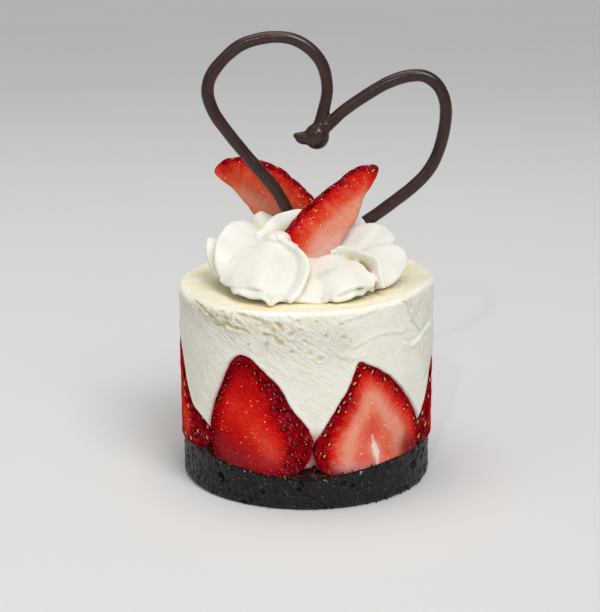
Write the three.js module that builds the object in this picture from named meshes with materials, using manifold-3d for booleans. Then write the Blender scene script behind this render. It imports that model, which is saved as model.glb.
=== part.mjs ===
// A small round mousse cake: a dark biscuit base, a ring of strawberry halves round the side, pale mousse
// that fills the ring and rises above it, a piped rosette of whipped cream, two strawberry wedges and a
// piped chocolate heart that stand in the cream.
//
// Millimetres, +Z up. The origin is the centre of the underside. The front of the cake faces -Y, and an
// azimuth is counted in degrees from the front, positive towards +X.
import * as THREE from "three";
import { mergeVertices } from "three/addons/utils/BufferGeometryUtils.js";
import Module from "manifold-3d";

const wasm = await Module();
wasm.setup();

// ---------------------------------------------------------------- driving dimensions
const CAKE_RADIUS = 38; // the ring mould is 76 mm across
const CAKE_HEIGHT = 59.4; // underside to the levelled top of the mousse, at the axis
const FIT_GAP = 0.3; // air left between two pieces that touch
const ROUND_STEPS = 60; // corners round the cake
const MARGIN = 3; // how far a body that cuts another goes past it

const biscuit = {
  radius: 37.3,
  footRadius: 36.5, // worn lower edge
  footHeight: 1.3,
  top: 12.8, // flat upper face under the mousse
  rim: 13.3, // height of the upper edge
  flatRadius: 32.5, // where the flat upper face ends
  dip: 3.3, // how far the edge is pressed down at the front
  dipAzimuth: -3,
  dipSpread: 23,
  edge: 0.9, // width of the worn upper edge
};

const mousse = {
  rimRound: 1.5, // radius of the softened upper edge
  smear: { azimuth: 63, spread: 13, height: 1.5 }, // a thicker smear of mousse over the edge at the right
  tiltX: 0.022, // the top was levelled a little out of true
  tiltY: 0.034,
  hollowRadius: 34.6, // between the fruit the mousse stays behind the mould's wall near the base
  hollowTop: 14.5,
  fullHeight: 24, // from here up it fills the mould
  foot: 5, // underside before the base trims it
  sag: 2, // how far the lower wall bows in between the two
  flatShare: 0.78, // share of the radius inside which the top is flat
  edgeShare: 0.3, // share of the edge's radius that its middle corner is cut back
};

// Each strawberry half stands on the base with its cut face outward and its tip up. Lengths along the
// wall are measured at the mould's radius.
const fruit = {
  depth: 16.2, // cut face to the round back
  girth: 1.2, // how far behind the cut face the fruit is widest
  middle: 23, // height of its middle
  faceRing: 0.5, // size of the ring inside the cut face, as a share of the face
  pocketGap: 0.45, // air behind the fruit
  outlineSteps: 20,
};
const FRUIT_DEPTHS = [0, 0.45, 1.2, 5, 9.4, 13, 15.4];
// Outlines of the halves: [along the wall from the middle, height], counter-clockwise seen from outside
// and begun at the tip. The base trims their lower ends.
const PLUMP = [
  [-5.2, 44.7], [-8.6, 41.4], [-11.4, 36], [-15.4, 27.5], [-17, 21], [-16.2, 15], [-12.5, 10.4], [-2, 8.8],
  [9.5, 9.6], [15.4, 14], [16.9, 20.2], [15, 25.2], [10.7, 30.4], [7, 36.8], [1.2, 42.2], [-1.2, 44.2],
];
const BROAD = [
  [-6, 43.2], [-7.5, 39.9], [-9.5, 35.6], [-13.4, 29], [-17.4, 22.8], [-18.9, 17.8], [-17.2, 12],
  [-11, 8.6], [2, 8.6], [14, 9.8], [18.3, 15.2], [18, 21.6], [14.7, 27], [8.4, 34.1], [3.8, 38.2],
  [-2.4, 41.8],
];
const WAISTED = [
  [-5.2, 45.8], [-9.6, 41], [-14.2, 32], [-17.6, 24], [-18.2, 17], [-14.5, 10.6], [-3, 8.8],
  [9, 9.4], [16, 13.6], [18.4, 18.4], [16.6, 22.6], [10.8, 25.8], [6.4, 31.4], [2.6, 38.6], [-1.6, 44],
];
const ROUND = [
  [1, 41.2], [-5.6, 39], [-10.8, 35], [-13.6, 28.8], [-17.4, 23.6], [-18.2, 17], [-14.8, 11], [-4, 8.8],
  [9, 9.2], [15.6, 12.6], [17.6, 19], [15.6, 26.4], [11.8, 33], [6.8, 39],
];
// middle: azimuth of the half, wide and high: scale of its outline, flip: mirrored, skin: width of the
// skin that shows beside the cut face at the left, at the right and on top
const FRUITS = [
  { middle: -22.8, shape: PLUMP, wide: 1, high: 1, flip: 1, skin: [1.2, 5.8, 1.4] },
  { middle: 31.7, shape: BROAD, wide: 1, high: 1, flip: 1, skin: [1.8, 0.9, 0.8] },
  { middle: 88.1, shape: ROUND, wide: 1, high: 1, flip: 1, skin: [7.5, 1.4, 1.8] },
  { middle: 138.9, shape: PLUMP, wide: 0.89, high: 0.95, flip: -1, skin: [1.6, 2.2, 1.2] },
  { middle: -174.3, shape: BROAD, wide: 0.8, high: 0.98, flip: -1, skin: [1.2, 3.4, 1] },
  { middle: -128, shape: PLUMP, wide: 0.88, high: 0.93, flip: 1, skin: [3.2, 1.2, 1.6] },
  { middle: -76.6, shape: WAISTED, wide: 1, high: 1, flip: 1, skin: [1.4, 8, 3] },
];

// The rosette is a ruffle of petals round a low core. A petal is a sheet of cream that runs from its root
// to its free edge, the rim; both are smooth curves through the points given, [x, y, z].
// bulge: how far the sheet sags inward between them (negative swells it outward), thick: its thickness at
// the root, overrun: how far it runs on past its root, as a share of its length, turn: degrees it is
// turned round the axis
const cream = {
  rootThick: 4.6,
  rimThick: 1.35,
  alongSteps: 3,
  acrossSteps: 7,
  overrun: 0.25,
  slopeStep: 0.02, // how far apart the slope of a sheet is measured
  coreSink: 4, // how far a core reaches below the top of the mousse
};
const CREAM_CORES = [
  { at: [0, 0], radius: 17, top: 67.5 },
  { at: [-1, 9], radius: 13, top: 72 },
  { at: [11.5, 4.5], radius: 8.5, top: 74 },
];
const FRONT_LEFT = {
  rim: [
    [-25.2, -16.5, 62], [-21.1, -22, 61.3], [-16, -26, 62.4], [-11.7, -28, 61.2], [-8.2, -28.8, 59.8],
    [-5.4, -28.6, 58.6],
  ],
  root: [[-17, -9, 69], [-13.5, -7, 70.4], [-8.5, -7.4, 71], [-2.2, -11.4, 68.8]],
  bulge: -1,
  overrun: 0.1,
};
const FRONT_FOLD = {
  rim: [
    [-9.6, -8, 71.3], [-7.2, -9.6, 72.8], [-4.1, -12, 71.9], [-1.6, -14, 71], [0.4, -18.2, 68.9],
    [0.9, -22.4, 66.4], [-0.2, -26.4, 63.6], [-2.3, -29, 60.9], [-4.7, -30, 58.8],
  ],
  root: [
    [-8.5, -7.5, 69.4], [-5.2, -9.5, 69], [-2.9, -12.5, 67.6], [-2.4, -17, 65.4], [-3.3, -22, 62.6],
    [-4.6, -26, 60.2], [-5.6, -27.6, 58.8],
  ],
  bulge: 0.5,
  thick: 2,
};
const FRONT_RIGHT = {
  rim: [
    [-4.6, -28, 58.6], [0.2, -29.5, 58.8], [5, -29.5, 59], [8.5, -29.2, 60.6], [12, -28.4, 62.3],
    [15.6, -26.6, 63.2], [18.9, -23.8, 62.2], [19.4, -21.8, 63.1], [18.5, -19.8, 64.6], [16.8, -17.8, 66],
    [14.4, -15, 67.1],
  ],
  root: [[0, -15, 64.4], [3.5, -11.6, 66], [7.1, -10.5, 67], [9.7, -10.5, 66], [11, -11, 65.4]],
  bulge: -0.8,
  thick: 2.8,
  overrun: 0.06,
};
const RIGHT_FOLD = {
  rim: [
    [7.5, -9.5, 68.8], [8.8, -10, 71], [12.5, -11.6, 70.7], [17.1, -14.6, 70.3], [20.2, -18.4, 68.8],
    [21.5, -21, 66.1], [22, -23, 61.6],
  ],
  root: [
    [8.6, -5, 66.5], [11.8, -5.6, 64.6], [14.7, -6.6, 63.4], [17.6, -9.6, 61.8], [19.4, -13.6, 60.6],
    [20.2, -17, 59.8],
  ],
  bulge: 1.2,
  thick: 2.6,
};
const RIGHT_LOBE = {
  rim: [
    [20.5, -4, 69], [25, -3, 69.4], [28.3, -4, 68.8], [29.6, -6.5, 66.5], [28.6, -9.5, 63.8],
    [26, -14, 61.6], [21.5, -18.5, 60.5],
  ],
  root: [[13, -3, 67], [14.5, -8, 66], [15, -12, 63]],
  bulge: 0.8,
};
const RIGHT_UPPER = {
  rim: [
    [11.5, -2, 72], [13.8, -1, 74.6], [17.5, 0, 75.7], [21.5, 0, 75.4], [24.8, 0, 73.6], [26.3, -1, 71],
    [24.8, -2, 68.6],
  ],
  root: [[9, -5, 67], [13, -6, 66.5], [17, -5, 65.5]],
  bulge: 0.8,
};
const BACK_PEAK = {
  rim: [[9, 1, 70], [12, 1, 74.5], [15.6, 1, 77.6], [18, 1.2, 75.4], [22, 2, 72]],
  root: [[7, 2, 66], [12, 3, 66], [17, 3, 65]],
  bulge: 0.4,
};
const LEFT_LOBE = {
  rim: [
    [-25, -16, 63], [-26.6, -14.5, 67], [-26.7, -11, 70.8], [-25.3, -7, 74], [-22.8, -3, 76.2],
    [-19, -0.6, 76.9], [-16.4, 0.6, 75.6], [-15.2, 1, 72.5],
  ],
  root: [[-15.5, -10, 64.5], [-14, -6, 66.5], [-12.5, -2, 68]],
  bulge: 0.9,
};
const LEFT_SLIVER = {
  rim: [[-26, 3, 70.8], [-29.4, 0, 71.2], [-29.6, -4, 68], [-28.6, -8, 64.6], [-26, -12, 62]],
  root: [[-17, 2, 66], [-17, -3, 65], [-17, -7, 63]],
  bulge: 0.6,
};
const BACK_CURL = {
  rim: [[-17, 5, 74], [-16, 5.5, 76.8], [-13.8, 6.5, 78.2], [-11, 7.5, 77], [-8, 8, 74]],
  root: [[-12, 3, 67], [-9, 4, 67], [-6, 5, 67]],
  bulge: 0.4,
};
const TOP_CURL = {
  rim: [
    [-15.6, -4.6, 71.4], [-15.3, -3.6, 73.2], [-13.7, -2.2, 74.8], [-10.8, -0.8, 77.2], [-8.2, -0.2, 78.8],
    [-5, -0.2, 79.8], [-1.6, -1, 80], [2, -3, 78],
  ],
  root: [[-12.5, -1, 68.5], [-9, 1, 70.5], [-4.5, 2, 71.5], [1, 1, 71]],
  bulge: 1.8,
  thick: 3.6,
};
const PETALS = [
  FRONT_LEFT,
  FRONT_FOLD,
  FRONT_RIGHT,
  RIGHT_FOLD,
  RIGHT_LOBE,
  RIGHT_UPPER,
  BACK_PEAK,
  LEFT_LOBE,
  LEFT_SLIVER,
  BACK_CURL,
  TOP_CURL,
  // the back of the ruffle repeats the front
  { ...FRONT_RIGHT, turn: 98 },
  { ...RIGHT_FOLD, turn: 98 },
  { ...FRONT_RIGHT, turn: 150 },
  { ...RIGHT_FOLD, turn: 150 },
  { ...FRONT_LEFT, turn: -98 },
  { ...FRONT_FOLD, turn: -98 },
  { ...RIGHT_UPPER, turn: 68 },
  { ...RIGHT_UPPER, turn: 128 },
];

// The two wedges of strawberry: [x, z] outlines, y of the middle, thickness. A wedge stands a little
// askew: it drifts back by drift for each millimetre to the right of its pivot.
const WEDGE_FRONT = {
  outline: [
    [20.4, 93.4], [14.4, 93.2], [9.2, 89.6], [1.4, 83.4], [-4.6, 77.2], [-7, 72.6], [-3.6, 66], [1.6, 63.6],
    [8, 66.6], [11.2, 73], [14.6, 78.4], [16.6, 84.6], [19.6, 89.4],
  ],
  middle: -5.6,
  pivot: 7,
  drift: -0.18,
  thick: 5.4,
};
const WEDGE_BACK = {
  outline: [
    [2.6, 80.6], [-1, 85], [-7, 90.4], [-13, 93.2], [-20, 94.6], [-25.4, 93.6], [-28, 90.4], [-23, 85.6],
    [-18, 80], [-14, 74], [-8, 68.6], [-1, 70],
  ],
  middle: 9,
  pivot: -4,
  drift: -0.2,
  thick: 5,
};
const wedge = {
  bevel: 1.7,
  sink: 0.25, // fall for each millimetre that it drifts back
  outlineSteps: 22,
};

// The heart was piped in two strokes that meet in a knob at the cleft. [x, z] in its own upright plane.
const heart = {
  plane: 3, // y of its middle
  strokeWidth: 3.7,
  sides: 7,
  spacing: 4.6, // between two rings of the stroke
};
const HEART_LEFT = [
  [-2, 70], [-5.2, 78.2], [-9.1, 85.3], [-13.2, 90.3], [-18.1, 96.1], [-23.1, 102.3], [-27.2, 108.3],
  [-28.9, 114.1], [-27.6, 119.2], [-20.2, 126.9], [-14.4, 129.2], [-8.3, 129.9], [-3.2, 129],
  [1.5, 126], [4.7, 121.6], [6, 115], [4.9, 108.6], [3.2, 103],
];
const HEART_RIGHT = [
  [3.2, 101.5], [7.6, 105.7], [10.6, 108.5], [18.8, 114.1], [24.3, 117.1], [30, 118.8], [34.6, 118.6],
  [38.2, 116], [40.4, 111.4], [40.6, 105], [38.5, 95.9], [35.5, 90.4], [31.1, 85.9], [25.4, 81.4],
  [19.2, 76.8], [12.6, 72.6], [5, 69.5],
];
// The knob is a cluster of balls: middle [x, z] and half widths.
const KNOB = [
  { at: [3, 101.2], size: [3.7, 3, 3.9] },
  { at: [4.2, 104], size: [2.3, 2.2, 2.6] },
  { at: [-0.4, 100.7], size: [3, 2, 2] }, // where the nozzle was first set down
  { at: [-2.4, 101.4], size: [1.7, 1.2, 1] },
];

// ---------------------------------------------------------------- small helpers
const radians = THREE.MathUtils.degToRad;

function polar(azimuth, radius, z) {
  const a = radians(azimuth);
  return new THREE.Vector3(radius * Math.sin(a), -radius * Math.cos(a), z);
}

// A closed surface through rings of points, each ring counter-clockwise seen from its far end, with a
// point that closes each end.
function skin(rings, firstPoint, lastPoint) {
  const n = rings[0].length;
  const points = [firstPoint, ...rings.flat(), lastPoint];
  const last = points.length - 1;
  const faces = [];
  const at = (ring, i) => 1 + ring * n + (i % n);
  for (let i = 0; i < n; i++) {
    faces.push(0, at(0, i + 1), at(0, i));
    for (let r = 0; r + 1 < rings.length; r++) {
      faces.push(at(r, i), at(r, i + 1), at(r + 1, i + 1));
      faces.push(at(r, i), at(r + 1, i + 1), at(r + 1, i));
    }
    faces.push(at(rings.length - 1, i), at(rings.length - 1, i + 1), last);
  }
  const geometry = new THREE.BufferGeometry();
  geometry.setAttribute(
    "position",
    new THREE.Float32BufferAttribute(points.flatMap((p) => [p.x, p.y, p.z]), 3),
  );
  geometry.setIndex(faces);
  return geometry;
}

function toSolid(geometry) {
  const bare = geometry.clone();
  bare.deleteAttribute("normal");
  bare.deleteAttribute("uv");
  const merged = mergeVertices(bare, 1e-4);
  const made = new wasm.Manifold(
    new wasm.Mesh({
      numProp: 3,
      vertProperties: new Float32Array(merged.attributes.position.array),
      triVerts: new Uint32Array(merged.index.array),
    }),
  );
  if (made.volume() < 0) throw new Error("a surface faces inwards");
  return made;
}

// The largest body of a solid, so that a boolean leaves no loose scrap.
function largest(solid) {
  return solid.decompose().sort((a, b) => b.volume() - a.volume())[0];
}

function toGeometry(solid) {
  const mesh = solid.getMesh();
  const geometry = new THREE.BufferGeometry();
  geometry.setAttribute("position", new THREE.Float32BufferAttribute(mesh.vertProperties, 3));
  geometry.setIndex([...mesh.triVerts]);
  geometry.computeVertexNormals();
  return geometry;
}

const cake = new THREE.Group();

function addPiece(name, solid, colour, roughness) {
  const material = new THREE.MeshStandardMaterial({ color: colour, roughness, metalness: 0 });
  const piece = new THREE.Mesh(toGeometry(largest(solid)), material);
  piece.name = name;
  cake.add(piece);
}

// ---------------------------------------------------------------- biscuit base
function rimHeight(azimuth) {
  const away = (azimuth - biscuit.dipAzimuth) / biscuit.dipSpread;
  return biscuit.rim - biscuit.dip * Math.exp(-0.5 * away * away);
}

// Rings of a turned shape: profile(azimuth) gives its [radius, height] pairs from the bottom to the top.
function turned(profile, lowest, highest) {
  const step = 360 / ROUND_STEPS;
  const count = profile(0).length;
  const rings = Array.from({ length: count }, (_, r) =>
    Array.from({ length: ROUND_STEPS }, (_, i) => {
      const azimuth = -180 + i * step;
      return polar(azimuth, ...profile(azimuth)[r]);
    }),
  );
  return toSolid(skin(rings, new THREE.Vector3(0, 0, lowest), new THREE.Vector3(0, 0, highest)));
}

function biscuitSolid() {
  return turned(
    (azimuth) => [
      [biscuit.footRadius, 0],
      [biscuit.radius, biscuit.footHeight],
      [biscuit.radius, rimHeight(azimuth) - biscuit.edge],
      [biscuit.radius - biscuit.edge, rimHeight(azimuth)],
      [biscuit.flatRadius, biscuit.top],
    ],
    0,
    biscuit.top,
  );
}

// Everything below the base's upper face, with the gap that what stands on it keeps.
function belowBiscuitTop() {
  const beyond = CAKE_RADIUS + 2 * MARGIN;
  return turned(
    (azimuth) => [
      [beyond, -MARGIN],
      [beyond, rimHeight(azimuth) + FIT_GAP],
      [biscuit.radius - biscuit.edge, rimHeight(azimuth) + FIT_GAP],
      [biscuit.flatRadius, biscuit.top + FIT_GAP],
    ],
    -MARGIN,
    biscuit.top + FIT_GAP,
  );
}

// ---------------------------------------------------------------- strawberry halves
// The outline at its widest, as points spread evenly round a smooth closed curve.
function outlineOf(f) {
  const corners = f.shape.map(([x, z]) => new THREE.Vector3(x * f.wide * f.flip, z * f.high, 0));
  if (f.flip > 0) corners.reverse();
  return new THREE.CatmullRomCurve3(corners, true).getSpacedPoints(fruit.outlineSteps).slice(1);
}

// A ring of the fruit at a depth behind its cut face, grown sideways by extra millimetres. Seen from
// the back of the fruit its corners run counter-clockwise.
function fruitRing(f, outline, depth, extra, scale = 1) {
  const [skinLeft, skinRight, skinTop] = f.skin;
  const half = Math.max(...outline.map((p) => Math.abs(p.x)));
  const tall = Math.max(...outline.map((p) => p.y)) - fruit.middle;
  return outline.map((p) => {
    let narrow = 1;
    let short = 1;
    if (depth < fruit.girth) {
      const bare = 1 - Math.sin((Math.PI / 2) * (depth / fruit.girth));
      narrow -= (bare * (p.x < 0 ? skinLeft : skinRight)) / half;
      short -= (bare * skinTop) / tall;
    } else {
      const behind = (depth - fruit.girth) / (fruit.depth - fruit.girth);
      narrow = Math.sqrt(1 - behind * behind);
      short = narrow;
    }
    const x = p.x * narrow * scale * (1 + extra / half);
    const z = fruit.middle + (p.y - fruit.middle) * short * scale * (1 + extra / tall);
    return polar(f.middle + THREE.MathUtils.radToDeg(x / CAKE_RADIUS), CAKE_RADIUS - depth, z);
  });
}

function fruitSolid(f) {
  const outline = outlineOf(f);
  const inFace = fruitRing(f, outline, 0, 0, fruit.faceRing);
  const rings = [inFace, ...FRUIT_DEPTHS.map((d) => fruitRing(f, outline, d, 0))];
  const face = polar(f.middle, CAKE_RADIUS, fruit.middle);
  const back = polar(f.middle, CAKE_RADIUS - fruit.depth, fruit.middle);
  return toSolid(skin(rings, face, back));
}

// The room that a fruit takes out of the mousse: open to the outside at the fruit's full width.
function fruitPocket(f) {
  const outline = outlineOf(f);
  const widest = fruitRing(f, outline, fruit.girth, FIT_GAP);
  const beyond = CAKE_RADIUS + MARGIN;
  const mouth = widest.map((p) => {
    const out = beyond / Math.hypot(p.x, p.y);
    return new THREE.Vector3(p.x * out, p.y * out, p.z);
  });
  const inner = FRUIT_DEPTHS.filter((d) => d >= fruit.girth);
  const rings = [mouth, ...inner.map((d) => fruitRing(f, outline, d, fruit.pocketGap))];
  const outside = polar(f.middle, beyond, fruit.middle);
  const back = polar(f.middle, CAKE_RADIUS - fruit.depth - FIT_GAP, fruit.middle);
  return toSolid(skin(rings, outside, back));
}

// ---------------------------------------------------------------- mousse
function topHeight(x, y) {
  return CAKE_HEIGHT + mousse.tiltX * x + mousse.tiltY * y;
}

function mousseBlank() {
  const r = mousse.rimRound;
  const cut = mousse.edgeShare * r;
  const { smear } = mousse;
  return turned(
    (azimuth) => {
      const edge = polar(azimuth, CAKE_RADIUS, 0);
      const smeared = smear.height * Math.exp(-0.5 * ((azimuth - smear.azimuth) / smear.spread) ** 2);
      const top = topHeight(edge.x, edge.y) + smeared;
      const inner = polar(azimuth, CAKE_RADIUS * mousse.flatShare, 0);
      const bowHeight = (mousse.hollowTop + mousse.fullHeight) / 2 - mousse.sag;
      return [
        [mousse.hollowRadius, mousse.foot],
        [mousse.hollowRadius, mousse.hollowTop],
        [(mousse.hollowRadius + CAKE_RADIUS) / 2, bowHeight],
        [CAKE_RADIUS, mousse.fullHeight],
        [CAKE_RADIUS, top - r],
        [CAKE_RADIUS - cut, top - cut],
        [CAKE_RADIUS - r, top],
        [CAKE_RADIUS * mousse.flatShare, topHeight(inner.x, inner.y)],
      ];
    },
    mousse.foot,
    CAKE_HEIGHT,
  );
}

// ---------------------------------------------------------------- whipped cream
function smoothCurve(places) {
  const points = places.map(([x, y, z]) => new THREE.Vector3(x, y, z));
  return new THREE.CatmullRomCurve3(points, false, "centripetal");
}

// A petal as a closed sheet. u runs from the root to the rim, v along them.
function petalSolid(petal) {
  const rim = smoothCurve(petal.rim);
  const root = smoothCurve(petal.root);
  const overrun = petal.overrun ?? cream.overrun;
  const middle = (u, v) => {
    const from = root.getPointAt(v);
    const to = rim.getPointAt(v);
    const along = to.clone().sub(from);
    const across = rim.getTangentAt(v).lerp(root.getTangentAt(v), 0.5);
    const out = along.clone().cross(across).normalize();
    const swell = petal.bulge * Math.sin(Math.PI * Math.max(0, u));
    return from.addScaledVector(along, u).addScaledVector(out, -swell);
  };
  const face = (u, v, side) => {
    const step = cream.slopeStep;
    const alongTangent = middle(u, v).sub(middle(u - step, v));
    const acrossTangent = middle(u, Math.min(1, v + step)).sub(middle(u, Math.max(0, v - step)));
    const normal = acrossTangent.cross(alongTangent).normalize();
    const thick = cream.rimThick + ((petal.thick ?? cream.rootThick) - cream.rimThick) * (1 - u);
    return middle(u, v).addScaledVector(normal, (side * thick) / 2);
  };
  const loops = [];
  for (let i = 0; i <= cream.acrossSteps; i++) {
    const v = i / cream.acrossSteps;
    const loop = [];
    for (let j = 0; j <= cream.alongSteps; j++) {
      loop.push(face(-overrun + ((1 + overrun) * j) / cream.alongSteps, v, -1));
    }
    for (let j = cream.alongSteps; j >= 0; j--) {
      loop.push(face(-overrun + ((1 + overrun) * j) / cream.alongSteps, v, 1));
    }
    loops.push(loop);
  }
  const solid = toSolid(skin(loops, middle(0.5, 0), middle(0.5, 1)));
  return solid.rotate([0, 0, petal.turn ?? 0]);
}

function creamCore({ at, radius, top }) {
  const dome = new THREE.SphereGeometry(1, 14, 8);
  const half = (top - CAKE_HEIGHT + cream.coreSink) / 2;
  dome.rotateX(Math.PI / 2);
  dome.scale(radius, radius, half);
  dome.translate(at[0], at[1], top - half);
  return toSolid(dome);
}

function creamSolid() {
  const lumps = [...CREAM_CORES.map(creamCore), ...PETALS.map(petalSolid)];
  const ruffle = lumps.reduce((whole, lump) => whole.add(lump));
  return ruffle.subtract(mousseBlank().translate([0, 0, FIT_GAP]));
}

// ---------------------------------------------------------------- strawberry wedges
function wedgeSolid(w, extra) {
  const corners = w.outline.map(([x, z]) => new THREE.Vector3(x, z, 0));
  const around = new THREE.CatmullRomCurve3(corners, true).getSpacedPoints(wedge.outlineSteps).slice(1);
  const shape = new THREE.Shape(around.map((p) => new THREE.Vector2(p.x, p.y)));
  const geometry = new THREE.ExtrudeGeometry(shape, {
    depth: w.thick - 2 * wedge.bevel,
    bevelThickness: wedge.bevel + extra,
    bevelSize: wedge.bevel + extra,
    bevelOffset: -wedge.bevel,
    bevelSegments: 2,
    steps: 1,
  });
  geometry.translate(0, 0, wedge.bevel - w.thick / 2);
  geometry.rotateX(Math.PI / 2);
  geometry.translate(-w.pivot, w.middle, 0);
  geometry.applyMatrix4(
    new THREE.Matrix4().set(1, 0, 0, w.pivot, w.drift, 1, 0, 0, -wedge.sink * w.drift, 0, 1, 0, 0, 0, 0, 1),
  );
  return toSolid(geometry);
}

// ---------------------------------------------------------------- chocolate heart
function strokeSolid(places, extra) {
  const path = smoothCurve(places.map(([x, z]) => [x, heart.plane, z]));
  const section = new THREE.Shape(
    Array.from({ length: heart.sides }, (_, i) => {
      const turn = (2 * Math.PI * i) / heart.sides;
      const reach = heart.strokeWidth / 2 + extra;
      return new THREE.Vector2(reach * Math.cos(turn), reach * Math.sin(turn));
    }),
  );
  const steps = Math.round(path.getLength() / heart.spacing);
  return toSolid(new THREE.ExtrudeGeometry(section, { steps, extrudePath: path, bevelEnabled: false }));
}

function lump({ at, size }, extra) {
  const ball = new THREE.SphereGeometry(1, 10, 6);
  ball.scale(size[0] + extra, size[1] + extra, size[2] + extra);
  ball.translate(at[0], heart.plane, at[1]);
  return toSolid(ball);
}

function heartSolid(extra) {
  const strokes = strokeSolid(HEART_LEFT, extra).add(strokeSolid(HEART_RIGHT, extra));
  return KNOB.reduce((whole, ball) => whole.add(lump(ball, extra)), strokes);
}

// ---------------------------------------------------------------- the cake put together
const underTop = belowBiscuitTop();
addPiece("biscuit_base", biscuitSolid(), 0x1c1614, 0.8);

let filling = mousseBlank().subtract(underTop);
FRUITS.forEach((f, i) => {
  filling = filling.subtract(fruitPocket(f));
  addPiece(`strawberry_half_${i + 1}`, fruitSolid(f).subtract(underTop), 0xb3131b, 0.35);
});
addPiece("mousse", filling, 0xf1ebda, 0.6);

const heartRoom = heartSolid(FIT_GAP);
const frontRoom = wedgeSolid(WEDGE_FRONT, FIT_GAP);
const backRoom = wedgeSolid(WEDGE_BACK, FIT_GAP);
addPiece("chocolate_heart", heartSolid(0), 0x2c1a16, 0.35);
addPiece("strawberry_wedge_front", wedgeSolid(WEDGE_FRONT, 0).subtract(heartRoom), 0xc8261f, 0.4);
addPiece("strawberry_wedge_back", wedgeSolid(WEDGE_BACK, 0).subtract(heartRoom), 0xc8261f, 0.4);
const rosette = creamSolid().subtract(heartRoom).subtract(frontRoom).subtract(backRoom);
addPiece("cream_rosette", rosette, 0xf6f3e8, 0.5);

export default cake;
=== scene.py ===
"""The looks of a small mousse cake: a dark biscuit base, strawberry halves round the side, pale mousse,
a rosette of whipped cream, two strawberry wedges and a piped chocolate heart.

Sizes are in millimetres in the cake's own frame (x right, y away from the camera, z up, origin at the
centre of the underside) and become metres when a mesh is made. An azimuth is counted in degrees from
the front, positive towards +x, and the wall length is an azimuth's arc at the mould's radius.
"""

import math

import bpy
import bmesh
import numpy as np
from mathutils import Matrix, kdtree
from mathutils.bvhtree import BVHTree


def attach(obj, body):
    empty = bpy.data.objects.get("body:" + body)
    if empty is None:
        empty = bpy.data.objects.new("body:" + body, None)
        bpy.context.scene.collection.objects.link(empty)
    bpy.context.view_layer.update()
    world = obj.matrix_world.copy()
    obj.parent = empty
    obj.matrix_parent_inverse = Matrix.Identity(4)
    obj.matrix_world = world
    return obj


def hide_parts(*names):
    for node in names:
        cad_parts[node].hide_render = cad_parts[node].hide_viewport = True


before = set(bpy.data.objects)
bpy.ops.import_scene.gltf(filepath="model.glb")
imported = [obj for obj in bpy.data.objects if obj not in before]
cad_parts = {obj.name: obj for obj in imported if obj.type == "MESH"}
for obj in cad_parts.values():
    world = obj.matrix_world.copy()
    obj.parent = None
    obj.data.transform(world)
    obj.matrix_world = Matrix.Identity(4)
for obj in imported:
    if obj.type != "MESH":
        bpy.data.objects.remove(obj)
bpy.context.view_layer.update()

MM = 0.001
CAKE_RADIUS = 38.0
CAKE_HEIGHT = 59.4
FAR = 99.0  # stands for a distance that no longer matters


# ---------------------------------------------------------------- camera
CAMERA_PLACE = (-1.94, -407.35, 152.83)
CAMERA_TILT = 0.246  # radians below the horizon
CAMERA_LENS = 82.2
SENSOR = 36.0


def make_camera():
    data = bpy.data.cameras.new("camera")
    data.lens = CAMERA_LENS
    data.sensor_width = SENSOR
    data.clip_end = 100.0
    camera = bpy.data.objects.new("camera", data)
    camera.location = [c * MM for c in CAMERA_PLACE]
    camera.rotation_euler = (math.pi / 2 - CAMERA_TILT, 0, 0)
    bpy.context.scene.collection.objects.link(camera)
    bpy.context.scene.camera = camera


# ---------------------------------------------------------------- noise
def lattice(ix, iy, iz, seed):
    """A steady number from 0 to 1 for each corner of a lattice."""
    n = (ix * 73856093) ^ (iy * 19349663) ^ (iz * 83492791) ^ (seed * 668265263)
    n &= 0xFFFFFFFF
    n = ((n ^ (n >> 15)) * 2246822519) & 0xFFFFFFFF
    n = ((n ^ (n >> 13)) * 3266489917) & 0xFFFFFFFF
    return ((n ^ (n >> 16)) & 0xFFFFFFFF) / 4294967295.0


def noise(points, size, seed=0):
    """Smooth noise from -1 to 1 with lumps of about that size."""
    q = np.asarray(points, float) / size
    corner = np.floor(q).astype(np.int64)
    f = q - corner
    f = f * f * (3 - 2 * f)
    total = np.zeros(len(q))
    for dx in (0, 1):
        for dy in (0, 1):
            for dz in (0, 1):
                share = (f[:, 0] if dx else 1 - f[:, 0]) * (f[:, 1] if dy else 1 - f[:, 1])
                share = share * (f[:, 2] if dz else 1 - f[:, 2])
                total += share * lattice(corner[:, 0] + dx, corner[:, 1] + dy, corner[:, 2] + dz, seed)
    return total * 2 - 1


def layered(points, size, layers, seed):
    """Noise with finer and weaker noise added."""
    total = np.zeros(len(points))
    strength = 1.0
    for i in range(layers):
        total += strength * noise(points, size, seed + 17 * i)
        size *= 0.5
        strength *= 0.5
    return total / (2 - 2 * strength)


def cells(points, size, seed):
    """Distance, in cell sizes, to the nearest of the points strewn one to a cell."""
    q = np.asarray(points, float) / size
    corner = np.floor(q).astype(np.int64)
    nearest = np.full(len(q), FAR)
    for dx in (-1, 0, 1):
        for dy in (-1, 0, 1):
            for dz in (-1, 0, 1):
                c = corner + (dx, dy, dz)
                place = np.stack(
                    [c[:, k] + lattice(c[:, 0], c[:, 1], c[:, 2], seed + 5 * k) for k in range(3)], -1
                )
                nearest = np.minimum(nearest, np.linalg.norm(q - place, axis=1))
    return nearest


def grain(points, waves, number=0):
    """Relief of several noises, each given by its depth, size, layers and seed; number shifts the seeds."""
    return sum(depth * layered(points, size, layers, seed + number) for depth, size, layers, seed in waves)


def smoothstep(low, high, value):
    t = np.clip((value - low) / (high - low), 0, 1)
    return t * t * (3 - 2 * t)


def bell(value, spread):
    return np.exp(-0.5 * (value / spread) ** 2)


# ---------------------------------------------------------------- curves and meshes
AHEAD = 0.01  # share of a curve's length on each side that gives its direction


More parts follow.
